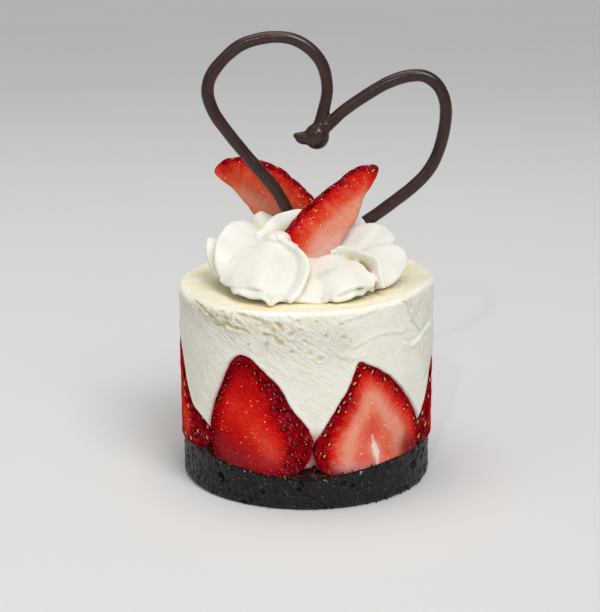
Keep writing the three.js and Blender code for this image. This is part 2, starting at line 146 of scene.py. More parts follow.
class Curve:
    """A smooth curve through the given points (centripetal Catmull-Rom), walked by its length."""

    def __init__(self, corners, closed=False, fine=40):
        p = np.array(corners, float)
        if closed:
            p = np.concatenate([p[-1:], p, p[:2]])
        else:
            p = np.concatenate([[2 * p[0] - p[1]], p, [2 * p[-1] - p[-2]]])
        t = np.linspace(0, 1, fine, endpoint=False)[:, None]
        parts = []
        for i in range(1, len(p) - 2):
            before, start, end, after = p[i - 1 : i + 3]
            pairs = ((before, start), (start, end), (end, after))
            d0, d1, d2 = (math.sqrt(np.linalg.norm(b - a)) for a, b in pairs)
            leave = ((start - before) / d0 - (end - before) / (d0 + d1) + (end - start) / d1) * d1
            arrive = ((end - start) / d1 - (after - start) / (d1 + d2) + (after - end) / d2) * d1
            parts.append(
                start
                + leave * t
                + (3 * (end - start) - 2 * leave - arrive) * t**2
                + (2 * (start - end) + leave + arrive) * t**3
            )
        parts.append(p[-2][None])
        self.points = np.concatenate(parts)
        steps = np.linalg.norm(np.diff(self.points, axis=0), axis=1)
        self.lengths = np.concatenate([[0], np.cumsum(steps)])
        self.length = self.lengths[-1]

    def at(self, share):
        s = np.clip(share, 0, 1) * self.length
        return np.stack([np.interp(s, self.lengths, values) for values in self.points.T], -1)

    def direction(self, share):
        ahead = self.at(np.minimum(1, share + AHEAD)) - self.at(np.maximum(0, share - AHEAD))
        return ahead / np.linalg.norm(ahead, axis=-1, keepdims=True)


def polar(azimuth, radius, z):
    a = np.radians(azimuth)
    return np.stack(np.broadcast_arrays(radius * np.sin(a), -radius * np.cos(a), z), -1)


def wall(s, z, depth):
    """The place at a length s along the mould's wall, at a height and a depth behind it."""
    return polar(np.degrees(s / CAKE_RADIUS), CAKE_RADIUS - depth, z)


def unit(v):
    return v / np.maximum(np.linalg.norm(v, axis=-1, keepdims=True), 1e-9)


def grid_faces(rows, columns):
    """Four-sided faces between closed rings of points."""
    r, c = np.meshgrid(np.arange(rows - 1), np.arange(columns), indexing="ij")
    ahead = (c + 1) % columns
    here, above = r * columns, (r + 1) * columns
    return np.stack([here + c, here + ahead, above + ahead, above + c], -1).reshape(-1, 4)


def capped_faces(rows, columns):
    """Faces of closed rings and of a fan at each end, to the two points that follow the rings' own."""
    count = rows * columns
    here = np.arange(columns)
    ahead = (here + 1) % columns
    last = count - columns
    return [
        grid_faces(rows, columns),
        np.stack([ahead, here, np.full(columns, count)], -1),
        np.stack([last + here, last + ahead, np.full(columns, count + 1)], -1),
    ]


def with_ends(values, first=0.0, last=0.0):
    """Point values with those of the two points that follow the rings."""
    return np.concatenate([values, [first, last]])


def make_mesh(name, points, faces, **attributes):
    """A new object from points in millimetres; faces is a list of arrays, and attributes are point values."""
    mesh = bpy.data.meshes.new(name)
    points = np.asarray(points, float)
    loops = np.concatenate([f.reshape(-1) for f in faces])
    sizes = np.concatenate([np.full(len(f), f.shape[1]) for f in faces])
    mesh.vertices.add(len(points))
    mesh.vertices.foreach_set("co", (points * MM).astype(np.float32).reshape(-1))
    mesh.loops.add(len(loops))
    mesh.loops.foreach_set("vertex_index", loops.astype(np.int32))
    mesh.polygons.add(len(sizes))
    mesh.polygons.foreach_set("loop_start", np.concatenate([[0], np.cumsum(sizes)[:-1]]).astype(np.int32))
    mesh.update(calc_edges=True)
    mesh.polygons.foreach_set("use_smooth", np.ones(len(sizes), bool))
    give(mesh, **attributes)
    made = bpy.data.objects.new(name, mesh)
    bpy.context.scene.collection.objects.link(made)
    return made


def give(mesh, **attributes):
    for label, values in attributes.items():
        values = np.asarray(values, np.float32)
        kind = "FLOAT" if values.ndim == 1 else "FLOAT_VECTOR"
        field = mesh.attributes.new(label, kind, "POINT")
        field.data.foreach_set("value" if kind == "FLOAT" else "vector", values.reshape(-1))


def points_of(made):
    co = np.empty(len(made.data.vertices) * 3, np.float32)
    made.data.vertices.foreach_get("co", co)
    return co.reshape(-1, 3).astype(float) / MM


def normals_of(made):
    n = np.empty(len(made.data.vertices) * 3, np.float32)
    made.data.vertices.foreach_get("normal", n)
    return n.reshape(-1, 3).astype(float)


def put_points(made, points):
    made.data.vertices.foreach_set("co", (points * MM).astype(np.float32).reshape(-1))
    made.data.update()


def outward(made):
    """Turns every face of a closed mesh outward."""
    work = bmesh.new()
    work.from_mesh(made.data)
    bmesh.ops.recalc_face_normals(work, faces=work.faces)
    work.to_mesh(made.data)
    work.free()


def remesh(made, voxel, smooth_steps):
    """Turns a mesh into one even skin round its bodies, a little smoothed."""
    join = made.modifiers.new("join", "REMESH")
    join.mode = "VOXEL"
    join.voxel_size = voxel * MM
    join.use_smooth_shade = True
    soften = made.modifiers.new("soften", "SMOOTH")
    soften.iterations = smooth_steps
    soften.factor = 0.5
    bpy.context.view_layer.update()
    done = bpy.data.meshes.new_from_object(made.evaluated_get(bpy.context.evaluated_depsgraph_get()))
    made.modifiers.clear()
    old = made.data
    made.data = done
    bpy.data.meshes.remove(old)


def softened(made, values, times):
    """Values of a mesh's points, averaged over their neighbours."""
    edges = np.empty(len(made.data.edges) * 2, np.int32)
    made.data.edges.foreach_get("vertices", edges)
    one, other = edges.reshape(-1, 2).T
    count = len(values)
    neighbours = np.bincount(one, minlength=count) + np.bincount(other, minlength=count)
    for _ in range(times):
        total = np.bincount(one, values[other], count) + np.bincount(other, values[one], count)
        values = 0.5 * values + 0.5 * total / np.maximum(neighbours, 1)
    return values


SHELTER_WAYS = 0.85 * np.array([(1, 0, 0), (-1, 0, 0), (0, 1, 0), (0, -1, 0), (0, 0, 1), (0, 0, -1)], float)
SHELTER_START = 0.3  # off the skin
SHELTER_BLUR = 6


def sheltered(made, reach):
    """How much of the space before each point of a mesh is taken up by the mesh itself, from 0 to 1."""
    work = bmesh.new()
    work.from_mesh(made.data)
    tree = BVHTree.FromBMesh(work)
    work.free()
    points = points_of(made) * MM
    normals = normals_of(made)
    starts = points + normals * SHELTER_START * MM
    hits = np.zeros(len(points))
    for lean in SHELTER_WAYS:
        ways = unit(normals + lean)
        hits += [tree.ray_cast(a, b, reach * MM)[0] is not None for a, b in zip(starts, ways)]
    return softened(made, hits / len(SHELTER_WAYS), SHELTER_BLUR)


def search_tree(points):
    """A tree that finds the nearest of the points."""
    tree = kdtree.KDTree(len(points))
    for i, p in enumerate(points):
        tree.insert(p, i)
    tree.balance()
    return tree


def finish_piece(made, material, slot, *nodes):
    """Gives a piece its material and its place in the frame, with the solids that it replaces."""
    made.data.materials.clear()
    made.data.materials.append(material)
    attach(made, "root")
    if nodes:
        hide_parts(*nodes)


# ---------------------------------------------------------------- materials
def colour(red, green, blue):
    """A linear colour from the usual 0 to 255 display values."""
    def linear(v):
        v /= 255
        return v / 12.92 if v <= 0.04045 else ((v + 0.055) / 1.055) ** 2.4

    return (linear(red), linear(green), linear(blue), 1.0)


def two(dark, light):
    """A darker and a lighter colour."""
    return colour(*dark), colour(*light)


MOUSSE_BODY = two((234, 232, 217), (242, 241, 231))
MOUSSE_TOP = two((240, 231, 203), (246, 239, 216))
# painted yellow bounce light in the shade under the cream
MOUSSE_PAINTED_BOUNCE = colour(255, 238, 178)
# painted shade in the low parts of the knife streaks
MOUSSE_STREAK_SHADE = colour(222, 208, 168)
MOUSSE_FINE = colour(228, 219, 190)
# painted shade in the side's holes, cracks, pocks and sponge pits
MOUSSE_PIT_SHADE = colour(222, 200, 144)
JUICE = colour(196, 84, 74)
CREAM_BODY = two((225, 224, 214), (231, 230, 222))
# painted yellow shade in the sheltered hollows of the rosette
CREAM_HOLLOW_SHADE = colour(240, 222, 166)
BISCUIT_GREYS = (
    (0.32, colour(3, 3, 3)), (0.48, colour(13, 12, 12)), (0.62, colour(25, 23, 23)),
    (0.74, colour(90, 86, 82))
)
BISCUIT_BROWN = colour(36, 31, 29)
# painted shade in the biscuit's pores
BISCUIT_PORE_SHADE = colour(3, 3, 3)
# painted highlights: small bright glints strewn over the biscuit
BISCUIT_SPECK_GLINT = colour(176, 172, 166)
BISCUIT_WET = colour(26, 12, 11)
BISCUIT_GLEAM = colour(244, 243, 242)
# painted shade inside the biscuit's crags and holes
BISCUIT_HOLE_SHADE = colour(9, 6, 6)
FLESH_REDS = (
    (0.0, colour(88, 0, 8)), (0.3, colour(146, 2, 14)), (0.55, colour(192, 8, 14)),
    (0.8, colour(214, 36, 22)), (1.0, colour(228, 84, 54)),
)
FLESH_RAY = colour(232, 128, 100)
FLESH_PALE = colour(232, 158, 132)
FLESH_DUSK = colour(120, 40, 44)
FLESH_WHITE = colour(242, 218, 206)
PEEL_REDS = ((0.3, colour(78, 0, 10)), (0.5, colour(124, 3, 18)), (0.72, colour(168, 12, 24)))
# painted highlights: a net of thin pale lines standing in for glints on the skin
PEEL_GLINT_NET = colour(214, 92, 104)
# painted sparkle: pale flecks that stand in for small wet highlights
FRUIT_SPARKLE_FLECK = colour(244, 176, 160)
FRUIT_GLINT = colour(255, 226, 220)
# painted shade in the dimple round each seed
FRUIT_PIT_SHADE = colour(36, 0, 4)
SEED_BROWN = two((96, 22, 8), (188, 92, 40))
SEED_YELLOW = two((158, 108, 20), (222, 184, 66))
CHOCOLATE = two((42, 25, 21), (58, 36, 31))
GLAZE = two((22, 6, 6), (52, 18, 17))
GLAZE_GLINT = colour(240, 238, 236)
CRUMB_DARK = two((14, 8, 7), (44, 28, 25))
CRUMB_BROWN = two((96, 60, 54), (176, 136, 126))
CRUMB_ORANGE = two((132, 62, 34), (176, 104, 66))
FLOOR_GREY = two((217, 217, 217), (220, 220, 220))


class Look:
    """A node material that is written from the surface back."""

    def __init__(self, name):
        self.material = bpy.data.materials.new(name)
        self.material.use_nodes = True
        self.tree = self.material.node_tree
        self.tree.nodes.clear()
        self.shader = self.add("ShaderNodeBsdfPrincipled")
        output = self.add("ShaderNodeOutputMaterial")
        self.tree.links.new(self.shader.outputs[0], output.inputs["Surface"])

    def add(self, kind, inputs=None, **settings):
        node = self.tree.nodes.new(kind)
        for key, value in settings.items():
            setattr(node, key, value)
        for key, value in (inputs or {}).items():
            self.set(node, key, value)
        return node

    def set(self, node, key, value):
        socket = node.inputs[key]
        if isinstance(value, bpy.types.NodeSocket):
            self.tree.links.new(value, socket)
        else:
            socket.default_value = value

    def surface(self, **inputs):
        for key, value in inputs.items():
            self.set(self.shader, key.replace("_", " "), value)

    def place(self):
        """The point's place on the object, in metres."""
        return self.add("ShaderNodeTexCoord").outputs["Object"]

    def value(self, label):
        return self.add("ShaderNodeAttribute", attribute_name=label).outputs["Fac"]

    def vector(self, label):
        return self.add("ShaderNodeAttribute", attribute_name=label).outputs["Vector"]

    def noise(self, size, detail=3.0, roughness=0.55, at=None, stretch=None):
        """Noise with lumps of about size millimetres, from 0 to 1."""
        at = at or self.place()
        if stretch:
            at = self.add("ShaderNodeMapping", {"Vector": at, "Scale": stretch}).outputs[0]
        inputs = {"Vector": at, "Scale": 1 / (size * MM), "Detail": detail, "Roughness": roughness}
        return self.add("ShaderNodeTexNoise", inputs).outputs["Fac"]

    def spots(self, size):
        """Distance to the nearest of many strewn spots, as a share of the spacing."""
        inputs = {"Vector": self.place(), "Scale": 1 / (size * MM)}
        return self.add("ShaderNodeTexVoronoi", inputs).outputs["Distance"]

    def ramp(self, value, *stops):
        """A colour for a value: stops are (position, colour)."""
        node = self.add("ShaderNodeValToRGB", {"Fac": value})
        elements = node.color_ramp.elements
        while len(elements) < len(stops):
            elements.new(1.0)
        for element, (position, shade) in zip(elements, stops):
            element.position = position
            element.color = shade
        return node.outputs["Color"]

    def fade(self, value, low, high, start=0.0, end=1.0):
        """A smooth change from start to end while the value goes from low to high."""
        inputs = {"Value": value, "From Min": low, "From Max": high, "To Min": start, "To Max": end}
        node = self.add("ShaderNodeMapRange", inputs, interpolation_type="SMOOTHSTEP")
        return node.outputs[0]

    def maths(self, operation, first, second=0.0):
        node = self.add("ShaderNodeMath", operation=operation)
        self.set(node, 0, first)
        self.set(node, 1, second)
        return node.outputs[0]

    def times(self, first, second):
        return self.maths("MULTIPLY", first, second)

    def mix(self, share, first, second):
        """A colour between two; a share of 1 gives the second."""
        node = self.add("ShaderNodeMix", data_type="RGBA")
        self.set(node, 0, share)
        self.set(node, 6, first)
        self.set(node, 7, second)
        return node.outputs[2]

    def clouds(self, size, detail, dark, light):
        """A colour that drifts between two, in lumps of about size millimetres."""
        return self.ramp(self.noise(size, detail), (0.3, dark), (0.7, light))

    def flecks(self, spacing, edge, share, patch, patch_edge):
        """Spots in patches: edge is where a spot fades, as two shares of the spacing in millimetres."""
        spots = self.fade(self.spots(spacing), *edge, share, 0)
        return self.times(spots, self.fade(self.noise(patch, 2), *patch_edge))

    def bump(self, height, depth, normal=None, strength=1.0):
        """Relief of about depth millimetres."""
        inputs = {"Height": height, "Distance": depth * MM, "Strength": strength}
        if normal:
            inputs["Normal"] = normal
        return self.add("ShaderNodeBump", inputs).outputs[0]


def translucent(look, weight, reach, tint):
    """Light that soaks in: reach in millimetres for a tint of three channels."""
    look.shader.subsurface_method = "RANDOM_WALK"
    look.surface(Subsurface_Weight=weight, Subsurface_Scale=reach * MM, Subsurface_Radius=tint)


def mousse_look():
    look = Look("mousse")
    fine = look.noise(1.6, 5)
    streak = look.noise(0.9, 5, 0.62, at=look.vector("streak"))
    rough = look.value("rough")
    spread = look.noise(2.4, 4, stretch=(0.25, 1.0, 1.0))
    levelled = look.ramp(spread, (0.3, MOUSSE_TOP[0]), (0.65, MOUSSE_TOP[1]))
    # painted yellow bounce light in the shade that the cream casts on the top
    levelled = look.mix(look.value("painted_bounce"), levelled, MOUSSE_PAINTED_BOUNCE)
    base = look.mix(look.value("levelled"), look.clouds(9, 4, *MOUSSE_BODY), levelled)
    # painted shade in the low parts of the knife streaks, where the bump sinks the side
    streak_shade = look.times(look.fade(streak, 0.5, 0.3), rough)
    base = look.mix(look.times(streak_shade, 0.5), base, MOUSSE_STREAK_SHADE)
    base = look.mix(look.fade(fine, 0.55, 0.8, 0, 0.16), base, MOUSSE_FINE)
    # painted shade in the side's holes, cracks, pocks and sponge pits
    base = look.mix(look.value("hollow"), base, MOUSSE_PIT_SHADE)
    base = look.mix(look.value("stain"), base, JUICE)
    relief = look.bump(look.noise(0.7, 5, 0.65), 0.16)
    relief = look.bump(look.times(streak, rough), 1.25, relief)
    relief = look.bump(look.fade(look.spots(1.15), 0.1, 0.42), 0.07, relief)
    gloss = look.fade(fine, 0.3, 0.7, 0.36, 0.55)
    look.surface(Base_Color=base, Roughness=gloss, Normal=relief, Specular_IOR_Level=0.4)
    translucent(look, 0.36, 3.2, (1.0, 0.78, 0.48))
    return look.material


def cream_look():
    look = Look("whipped_cream")
    # painted yellow shade in the sheltered hollows of the rosette
    base = look.mix(look.value("deep"), look.clouds(7, 4, *CREAM_BODY), CREAM_HOLLOW_SHADE)
    comb = look.maths("SINE", look.times(look.value("comb"), 2 * math.pi))
    relief = look.bump(comb, 0.03, None, 0.6)
    relief = look.bump(look.noise(0.8, 4, 0.6), 0.08, relief)
    look.surface(Base_Color=base, Roughness=0.4, Normal=relief, Specular_IOR_Level=0.42)
    translucent(look, 0.4, 2.8, (1.0, 0.88, 0.66))
    return look.material


def biscuit_look():
    look = Look("dark_biscuit")
    wet = look.value("wet")
    pore = look.flecks(1.7, (0.12, 0.22), 0.9, 3.4, (0.42, 0.52))
    speck_glint = look.flecks(1.05, (0.07, 0.15), 0.9, 2.6, (0.46, 0.58))
    gleam = look.flecks(1.3, (0.2, 0.3), 1.0, 1.9, (0.44, 0.5))
    base = look.ramp(look.noise(0.7, 5, 0.7), *BISCUIT_GREYS)
    base = look.mix(look.fade(look.noise(6, 3), 0.4, 0.7, 0, 0.4), base, BISCUIT_BROWN)
    # painted shade in the pores that the bump below sinks
    base = look.mix(pore, base, BISCUIT_PORE_SHADE)
    # painted highlights: small bright glints strewn over the biscuit
    base = look.mix(speck_glint, base, BISCUIT_SPECK_GLINT)
    base = look.mix(wet, base, BISCUIT_WET)
    base = look.mix(look.times(gleam, wet), base, BISCUIT_GLEAM)
    # painted shade inside the biscuit's crags and holes
    base = look.mix(look.value("hole"), base, BISCUIT_HOLE_SHADE)
    relief = look.bump(look.noise(0.6, 4, 0.6), 0.32)
    relief = look.bump(look.times(pore, -1.0), 0.6, relief)
    gloss = look.fade(wet, 0, 1, 0.36, 0.12)
    look.surface(Base_Color=base, Roughness=gloss, Normal=relief, Specular_IOR_Level=0.28)
    return look.material


def crumb_look(name, shades, roughness):
    look = Look(name)
    relief = look.bump(look.noise(0.3, 4), 0.1)
    look.surface(Base_Color=look.clouds(0.8, 4, *shades), Roughness=roughness, Normal=relief)
    return look.material


def fruit_look():
    """Cut strawberry flesh with its skin; the point values say where each part is."""
    look = Look("strawberry")
    skin = look.value("skin")
    fibre = look.noise(0.6, 4, 0.55, at=look.vector("fibre"))
    grained = look.noise(0.5, 4, 0.65)
    tone = look.maths("ADD", look.value("tone"), look.fade(grained, 0.25, 0.75, -0.13, 0.13))
    tone = look.maths("ADD", tone, look.fade(look.noise(4, 3), 0.3, 0.7, -0.05, 0.05))
    flesh = look.ramp(tone, *FLESH_REDS)
    rays = look.times(look.fade(fibre, 0.42, 0.72), look.value("rays"))
    flesh = look.mix(look.times(rays, 0.4), flesh, FLESH_RAY)
    pale = look.times(look.value("pale"), look.fade(fibre, 0.25, 0.65, 0.7, 1.0))
    flesh = look.mix(pale, flesh, FLESH_PALE)
    flesh = look.mix(look.value("dusk"), flesh, FLESH_DUSK)
    flesh = look.mix(look.value("white"), flesh, FLESH_WHITE)
    # painted highlights: a net of thin pale lines in patches, standing in for glints on the skin
    glint_net = look.maths("ABSOLUTE", look.maths("SUBTRACT", look.noise(1.5, 3), 0.5))
    patchy = look.fade(look.noise(3.5, 2), 0.45, 0.65)
    glint_net = look.times(look.fade(glint_net, 0.0, 0.035, 0.5, 0), patchy)
    peel = look.mix(glint_net, look.ramp(look.noise(2.2, 5), *PEEL_REDS), PEEL_GLINT_NET)
    base = look.mix(skin, flesh, peel)
    # painted sparkle: pale flecks in patches that stand in for small wet highlights, more of them on the skin
    sparkle_fleck = look.flecks(0.7, (0.1, 0.22), 1, 1.6, (0.42, 0.6))
    base = look.mix(look.times(sparkle_fleck, look.fade(skin, 0, 0.6, 0.42, 0.7)), base, FRUIT_SPARKLE_FLECK)
    base = look.mix(look.flecks(1.4, (0.09, 0.15), 0.9, 4, (0.46, 0.56)), base, FRUIT_GLINT)
    # painted shade in the dimple round each seed
    base = look.mix(look.value("pit"), base, FRUIT_PIT_SHADE)
    relief = look.bump(fibre, 0.06, look.bump(grained, 0.2))
    ripple = look.add("ShaderNodeMix", data_type="VECTOR")
    look.set(ripple, 0, skin)
    look.set(ripple, 4, relief)
    look.set(ripple, 5, look.bump(look.noise(0.8, 3, 0.5), 0.42, relief))
    gloss = look.fade(skin, 0, 1, 0.26, 0.15)
    look.surface(Base_Color=base, Roughness=gloss, Normal=ripple.outputs[1], Specular_IOR_Level=0.0)
    translucent(look, 0.12, 1.4, (1.0, 0.25, 0.18))
    return look.material


def seed_look(name, shades):
    look = Look(name)
    look.surface(Base_Color=look.clouds(1.2, 3, *shades), Roughness=0.35, Specular_IOR_Level=0.5)
    return look.material


def chocolate_look():
    look = Look("chocolate")
    relief = look.bump(look.noise(2.2, 4), 0.1)
    gloss = look.fade(look.noise(2.5, 3), 0.3, 0.7, 0.2, 0.32)
    look.surface(
        Base_Color=look.clouds(6, 4, *CHOCOLATE), Roughness=gloss, Normal=relief, Specular_IOR_Level=0.42
    )
    return look.material


def glaze_look():
    look = Look("chocolate_glaze")
    glint = look.fade(look.spots(2.4), 0.1, 0.17, 0.9, 0)
    base = look.mix(glint, look.clouds(2, 3, *GLAZE), GLAZE_GLINT)
    look.surface(Base_Color=base, Roughness=0.08, Normal=look.bump(look.noise(1.6, 3), 0.4), IOR=1.18)
    return look.material


# ---------------------------------------------------------------- biscuit base
BISCUIT_RADIUS = 37.3
BISCUIT_FOOT = 36.5
BISCUIT_FOOT_STEP = (1.0, 0.1)  # inward and up, where the underside ends
BISCUIT_FOOT_HEIGHT = 1.3
BISCUIT_TOP = 12.8
BISCUIT_RIM = 13.3
BISCUIT_FLAT = 32.5
BISCUIT_EDGE = 0.9
BISCUIT_CORE = 0.5  # radius of the innermost rings
BISCUIT_COLUMNS = 720
BISCUIT_STEPS = (6, 3, 5, 30, 5, 10, 6)  # rings from each corner of the profile to the next
DIP_DEPTH = 3.3
DIP_AZIMUTH = -3.0
DIP_SPREAD = 23.0
BISCUIT_GRAIN = ((0.26, 2.6, 3, 3), (0.1, 0.9, 1, 9), (0.06, 0.5, 1, 12))
BISCUIT_MOST = 0.35  # how far a crumb may stand out
CRAG_DEPTH = 0.9
PORE_DEPTH = 0.35
RIM_LUMPS = 0.35
# holes in the side: wall length, height, radius, depth
BISCUIT_HOLES = (
    (-27.7, 6.6, 1.7, 2.0), (38.5, 7.4, 1.7, 2.0), (-13.2, 4.6, 0.8, 0.9), (13.4, 6.2, 1.1, 0.9),
    (11.0, 7.4, 0.9, 0.9), (-1.2, 7.6, 0.8, 0.8),
)
WET_REACH = 2.6  # down from the rim
WET_PLACE = (9, 18)  # wall length where the rim is wettest, and its spread


def rim_height(azimuth):
    return BISCUIT_RIM - DIP_DEPTH * bell(azimuth - DIP_AZIMUTH, DIP_SPREAD)


def biscuit_profile(azimuth):
    """Radius and height of the base's rings at each azimuth, from the underside's middle to the top's."""
    rim = rim_height(azimuth)
    level = np.zeros_like(rim)
    inward, up = BISCUIT_FOOT_STEP
    corners = [
        (BISCUIT_CORE, level),
        (BISCUIT_FOOT - inward, level),
        (BISCUIT_FOOT, level + up),
        (BISCUIT_RADIUS, level + BISCUIT_FOOT_HEIGHT),
        (BISCUIT_RADIUS, rim - BISCUIT_EDGE),
        (BISCUIT_RADIUS - BISCUIT_EDGE, rim),
        (BISCUIT_FLAT, level + BISCUIT_TOP),
        (BISCUIT_CORE, level + BISCUIT_TOP),
    ]
    rows = []
    for (r0, z0), (r1, z1), count in zip(corners, corners[1:], BISCUIT_STEPS):
        for k in range(count):
            t = k / count
            rows.append((np.full_like(azimuth, r0 + (r1 - r0) * t), z0 + (z1 - z0) * t))
    rows.append((np.full_like(azimuth, BISCUIT_CORE), corners[-1][1]))
    return rows


def make_biscuit():
    azimuth = np.linspace(-180, 180, BISCUIT_COLUMNS, endpoint=False)
    rows = biscuit_profile(azimuth)
    points = np.concatenate([polar(azimuth, r, z) for r, z in rows])
    out = unit(points * (1, 1, 0))
    side = smoothstep(BISCUIT_FLAT - 1, BISCUIT_FOOT, np.hypot(points[:, 0], points[:, 1]))
    s = np.radians(np.tile(azimuth, len(rows))) * CAKE_RADIUS
    z = points[:, 2]
    crags = smoothstep(0.34, 0.16, cells(points, 2.4, 21))
    push = grain(points, BISCUIT_GRAIN)
    push -= CRAG_DEPTH * crags * smoothstep(-0.3, 0.3, noise(points, 6, 25))
    push -= PORE_DEPTH * smoothstep(0.3, 0.1, cells(points, 1.3, 33))
    rise = RIM_LUMPS * layered(points, 3.2, 3, 41) * smoothstep(8, 12, z)
    # share of painted shade inside the crags and the side's holes
    hole = 0.7 * crags
    for s0, z0, size, depth in BISCUIT_HOLES:
        away = np.hypot(s - s0, z - z0) + 0.3 * noise(points, 0.8, 50)
        push -= depth * smoothstep(size, size * 0.5, away)
        hole = np.maximum(hole, smoothstep(size * 1.05, size * 0.7, away))
    points = points + out * (np.minimum(push, BISCUIT_MOST) * side)[:, None]
    points[:, 2] = np.maximum(0, z + rise * side)
    below_rim = np.tile(rim_height(azimuth), len(rows)) - z
    wettest, spread = WET_PLACE
    wet = smoothstep(-0.25, 0.3, layered(points, 2.2, 3, 61)) * smoothstep(WET_REACH, 0.2, below_rim)
    wet *= side * (0.4 + 0.6 * bell(s - wettest, spread))
    ends = [polar(0.0, 0.0, height) for height in (0.0, BISCUIT_TOP)]
    made = make_mesh(
        "biscuit_base_crumb",
        np.concatenate([points, ends]),
        capped_faces(len(rows), BISCUIT_COLUMNS),
        wet=with_ends(wet),
        hole=with_ends(hole * side),
    )
    finish_piece(made, biscuit_look(), "biscuit", "biscuit_base")


# ---------------------------------------------------------------- strawberry halves
FRUIT_DEPTH = 16.2
FRUIT_GIRTH = 1.2
FRUIT_MIDDLE = 23.0
PLUMP = [
    (-5.2, 44.7), (-8.6, 41.4), (-11.4, 36), (-15.4, 27.5), (-17, 21), (-16.2, 15), (-12.5, 10.4), (-2, 8.8),
    (9.5, 9.6), (15.4, 14), (16.9, 20.2), (15, 25.2), (10.7, 30.4), (7, 36.8), (1.2, 42.2), (-1.2, 44.2),
]
BROAD = [
    (-6, 43.2), (-7.5, 39.9), (-9.5, 35.6), (-13.4, 29), (-17.4, 22.8), (-18.9, 17.8), (-17.2, 12),
    (-11, 8.6), (2, 8.6), (14, 9.8), (18.3, 15.2), (18, 21.6), (14.7, 27), (8.4, 34.1), (3.8, 38.2),
    (-2.4, 41.8),
]
WAISTED = [
    (-5.2, 45.8), (-9.6, 41), (-14.2, 32), (-17.6, 24), (-18.2, 17), (-14.5, 10.6), (-3, 8.8),
    (9, 9.4), (16, 13.6), (18.4, 18.4), (16.6, 22.6), (10.8, 25.8), (6.4, 31.4), (2.6, 38.6), (-1.6, 44),
]
ROUND = [
    (1, 41.2), (-5.6, 39), (-10.8, 35), (-13.6, 28.8), (-17.4, 23.6), (-18.2, 17), (-14.8, 11), (-4, 8.8),
    (9, 9.2), (15.6, 12.6), (17.6, 19), (15.6, 26.4), (11.8, 33), (6.8, 39),
]
FRUIT_COLUMNS = 260
FACE_RINGS = 30
SKIN_RINGS = 22
BACK_RINGS = 12
FACE_GRAIN = ((0.25, 5, 3, 70), (0.1, 1.4, 1, 80))
FACE_ROUND = 0.12  # fall of the cut face at its edge
FACE_MIDDLE = 0.03  # scale of a face's innermost ring
FRUIT_SUNK = 0.1  # into the base


class Half:
    """A strawberry half: middle is its azimuth, skin the widths of skin seen left, right and above."""

    def __init__(self, middle, shape, wide, high, flip, skin, flesh, seeds, seed_size, spots=()):
        self.middle = middle
        self.skin = skin
        self.flesh = flesh
        self.seeds = seeds
        self.seed_size = seed_size
        self.spots = [np.array(spot) for spot in spots]
        self.turned = flip / wide
        self.high = high
        corners = [(x * wide * flip, z * high) for x, z in shape]
        if flip > 0:
            corners.reverse()
        self.outline = Curve(corners, closed=True)
        self.half = np.abs(self.outline.points[:, 0]).max()
        self.tall = self.outline.points[:, 1].max() - FRUIT_MIDDLE

    def flat(self, share, depth, scale):
        """Wall length from the half's middle, and height, of the outline's point at a depth."""
        p = self.outline.at(share)
        left, right, top = self.skin
        before = depth < FRUIT_GIRTH
        bare = np.where(before, 1 - np.sin(np.pi / 2 * np.minimum(1, depth / FRUIT_GIRTH)), 0)
        behind = np.clip((depth - FRUIT_GIRTH) / (FRUIT_DEPTH - FRUIT_GIRTH), 0, 1)
        shrink = np.sqrt(1 - behind**2)
        beside = np.where(p[..., 0] < 0, left, right)
        narrow = np.where(before, 1 - bare * beside / self.half, shrink)
        short = np.where(before, 1 - bare * top / self.tall, shrink)
        x = p[..., 0] * narrow * scale
        z = FRUIT_MIDDLE + (p[..., 1] - FRUIT_MIDDLE) * short * scale
        return x, z


# seeds that the photograph shows: wall lengths from the half's middle, and heights
RIPE_SEEDS = (
    (-4.9, 42), (-2.2, 41.9), (0.2, 39.9), (1.9, 38.2), (4.4, 37.2), (6, 34.6), (5.5, 30.5),
    (2.2, 35.7), (8.6, 30.4), (7.8, 33), (-8.7, 37.2), (-9.9, 35.1), (-11, 32.6), (-12.1, 30.4),
    (-15.2, 20), (-15.9, 17.6), (9.7, 13.5), (12.8, 15.4), (11, 17), (14.6, 16.8), (10.2, 27.3),
    (12.4, 25.6), (13.8, 22.8), (11.4, 20.6), (14.9, 19.8), (8.6, 24.4), (-14.3, 24.2), (12.2, 12.6),
)
PALE_SEEDS = (
    (-4.4, 41.2), (-1.9, 39.9), (2.7, 37.1), (7.4, 33), (12.4, 27.2), (-6, 39.1), (-7.5, 37), (-8.8, 34.2),
    (-10.3, 31.9), (-12.1, 29.3), (-14.1, 25.7), (-14.7, 19.8), (-16.2, 16.4), (15.4, 22.4), (-15.8, 22.6),
)
HALVES = [
    Half(-22.8, PLUMP, 1, 1, 1, (1.2, 5.8, 1.4), "ripe", "brown", 0.86, RIPE_SEEDS),
    Half(31.7, BROAD, 1, 1, 1, (1.8, 0.9, 0.8), "pale", "yellow", 0.95, PALE_SEEDS),
    Half(88.1, ROUND, 1, 1, 1, (7.5, 1.4, 1.8), "plain", "yellow", 1.25),
    Half(138.9, PLUMP, 0.89, 0.95, -1, (1.6, 2.2, 1.2), "pale", "yellow", 1.0),
    Half(-174.3, BROAD, 0.8, 0.98, -1, (1.2, 3.4, 1), "plain", "yellow", 1.0),
    Half(-128, PLUMP, 0.88, 0.93, 1, (3.2, 1.2, 1.6), "ripe", "brown", 0.9),
    Half(-76.6, WAISTED, 1, 1, 1, (1.4, 8, 3), "ripe", "yellow", 1.2),
]
SEED_SPACING = 3.0
SEED_ROWS = (1.0, 3.3, 5.8)  # how far in from the outline
SEED_PAST_SKIN = 1.4  # how far onto the cut face a seed may lie
SEED_SUNK = 0.22
SEED_DIMPLE = 0.36
SEED_CLEAR = 0.9  # least height of a seed over the base
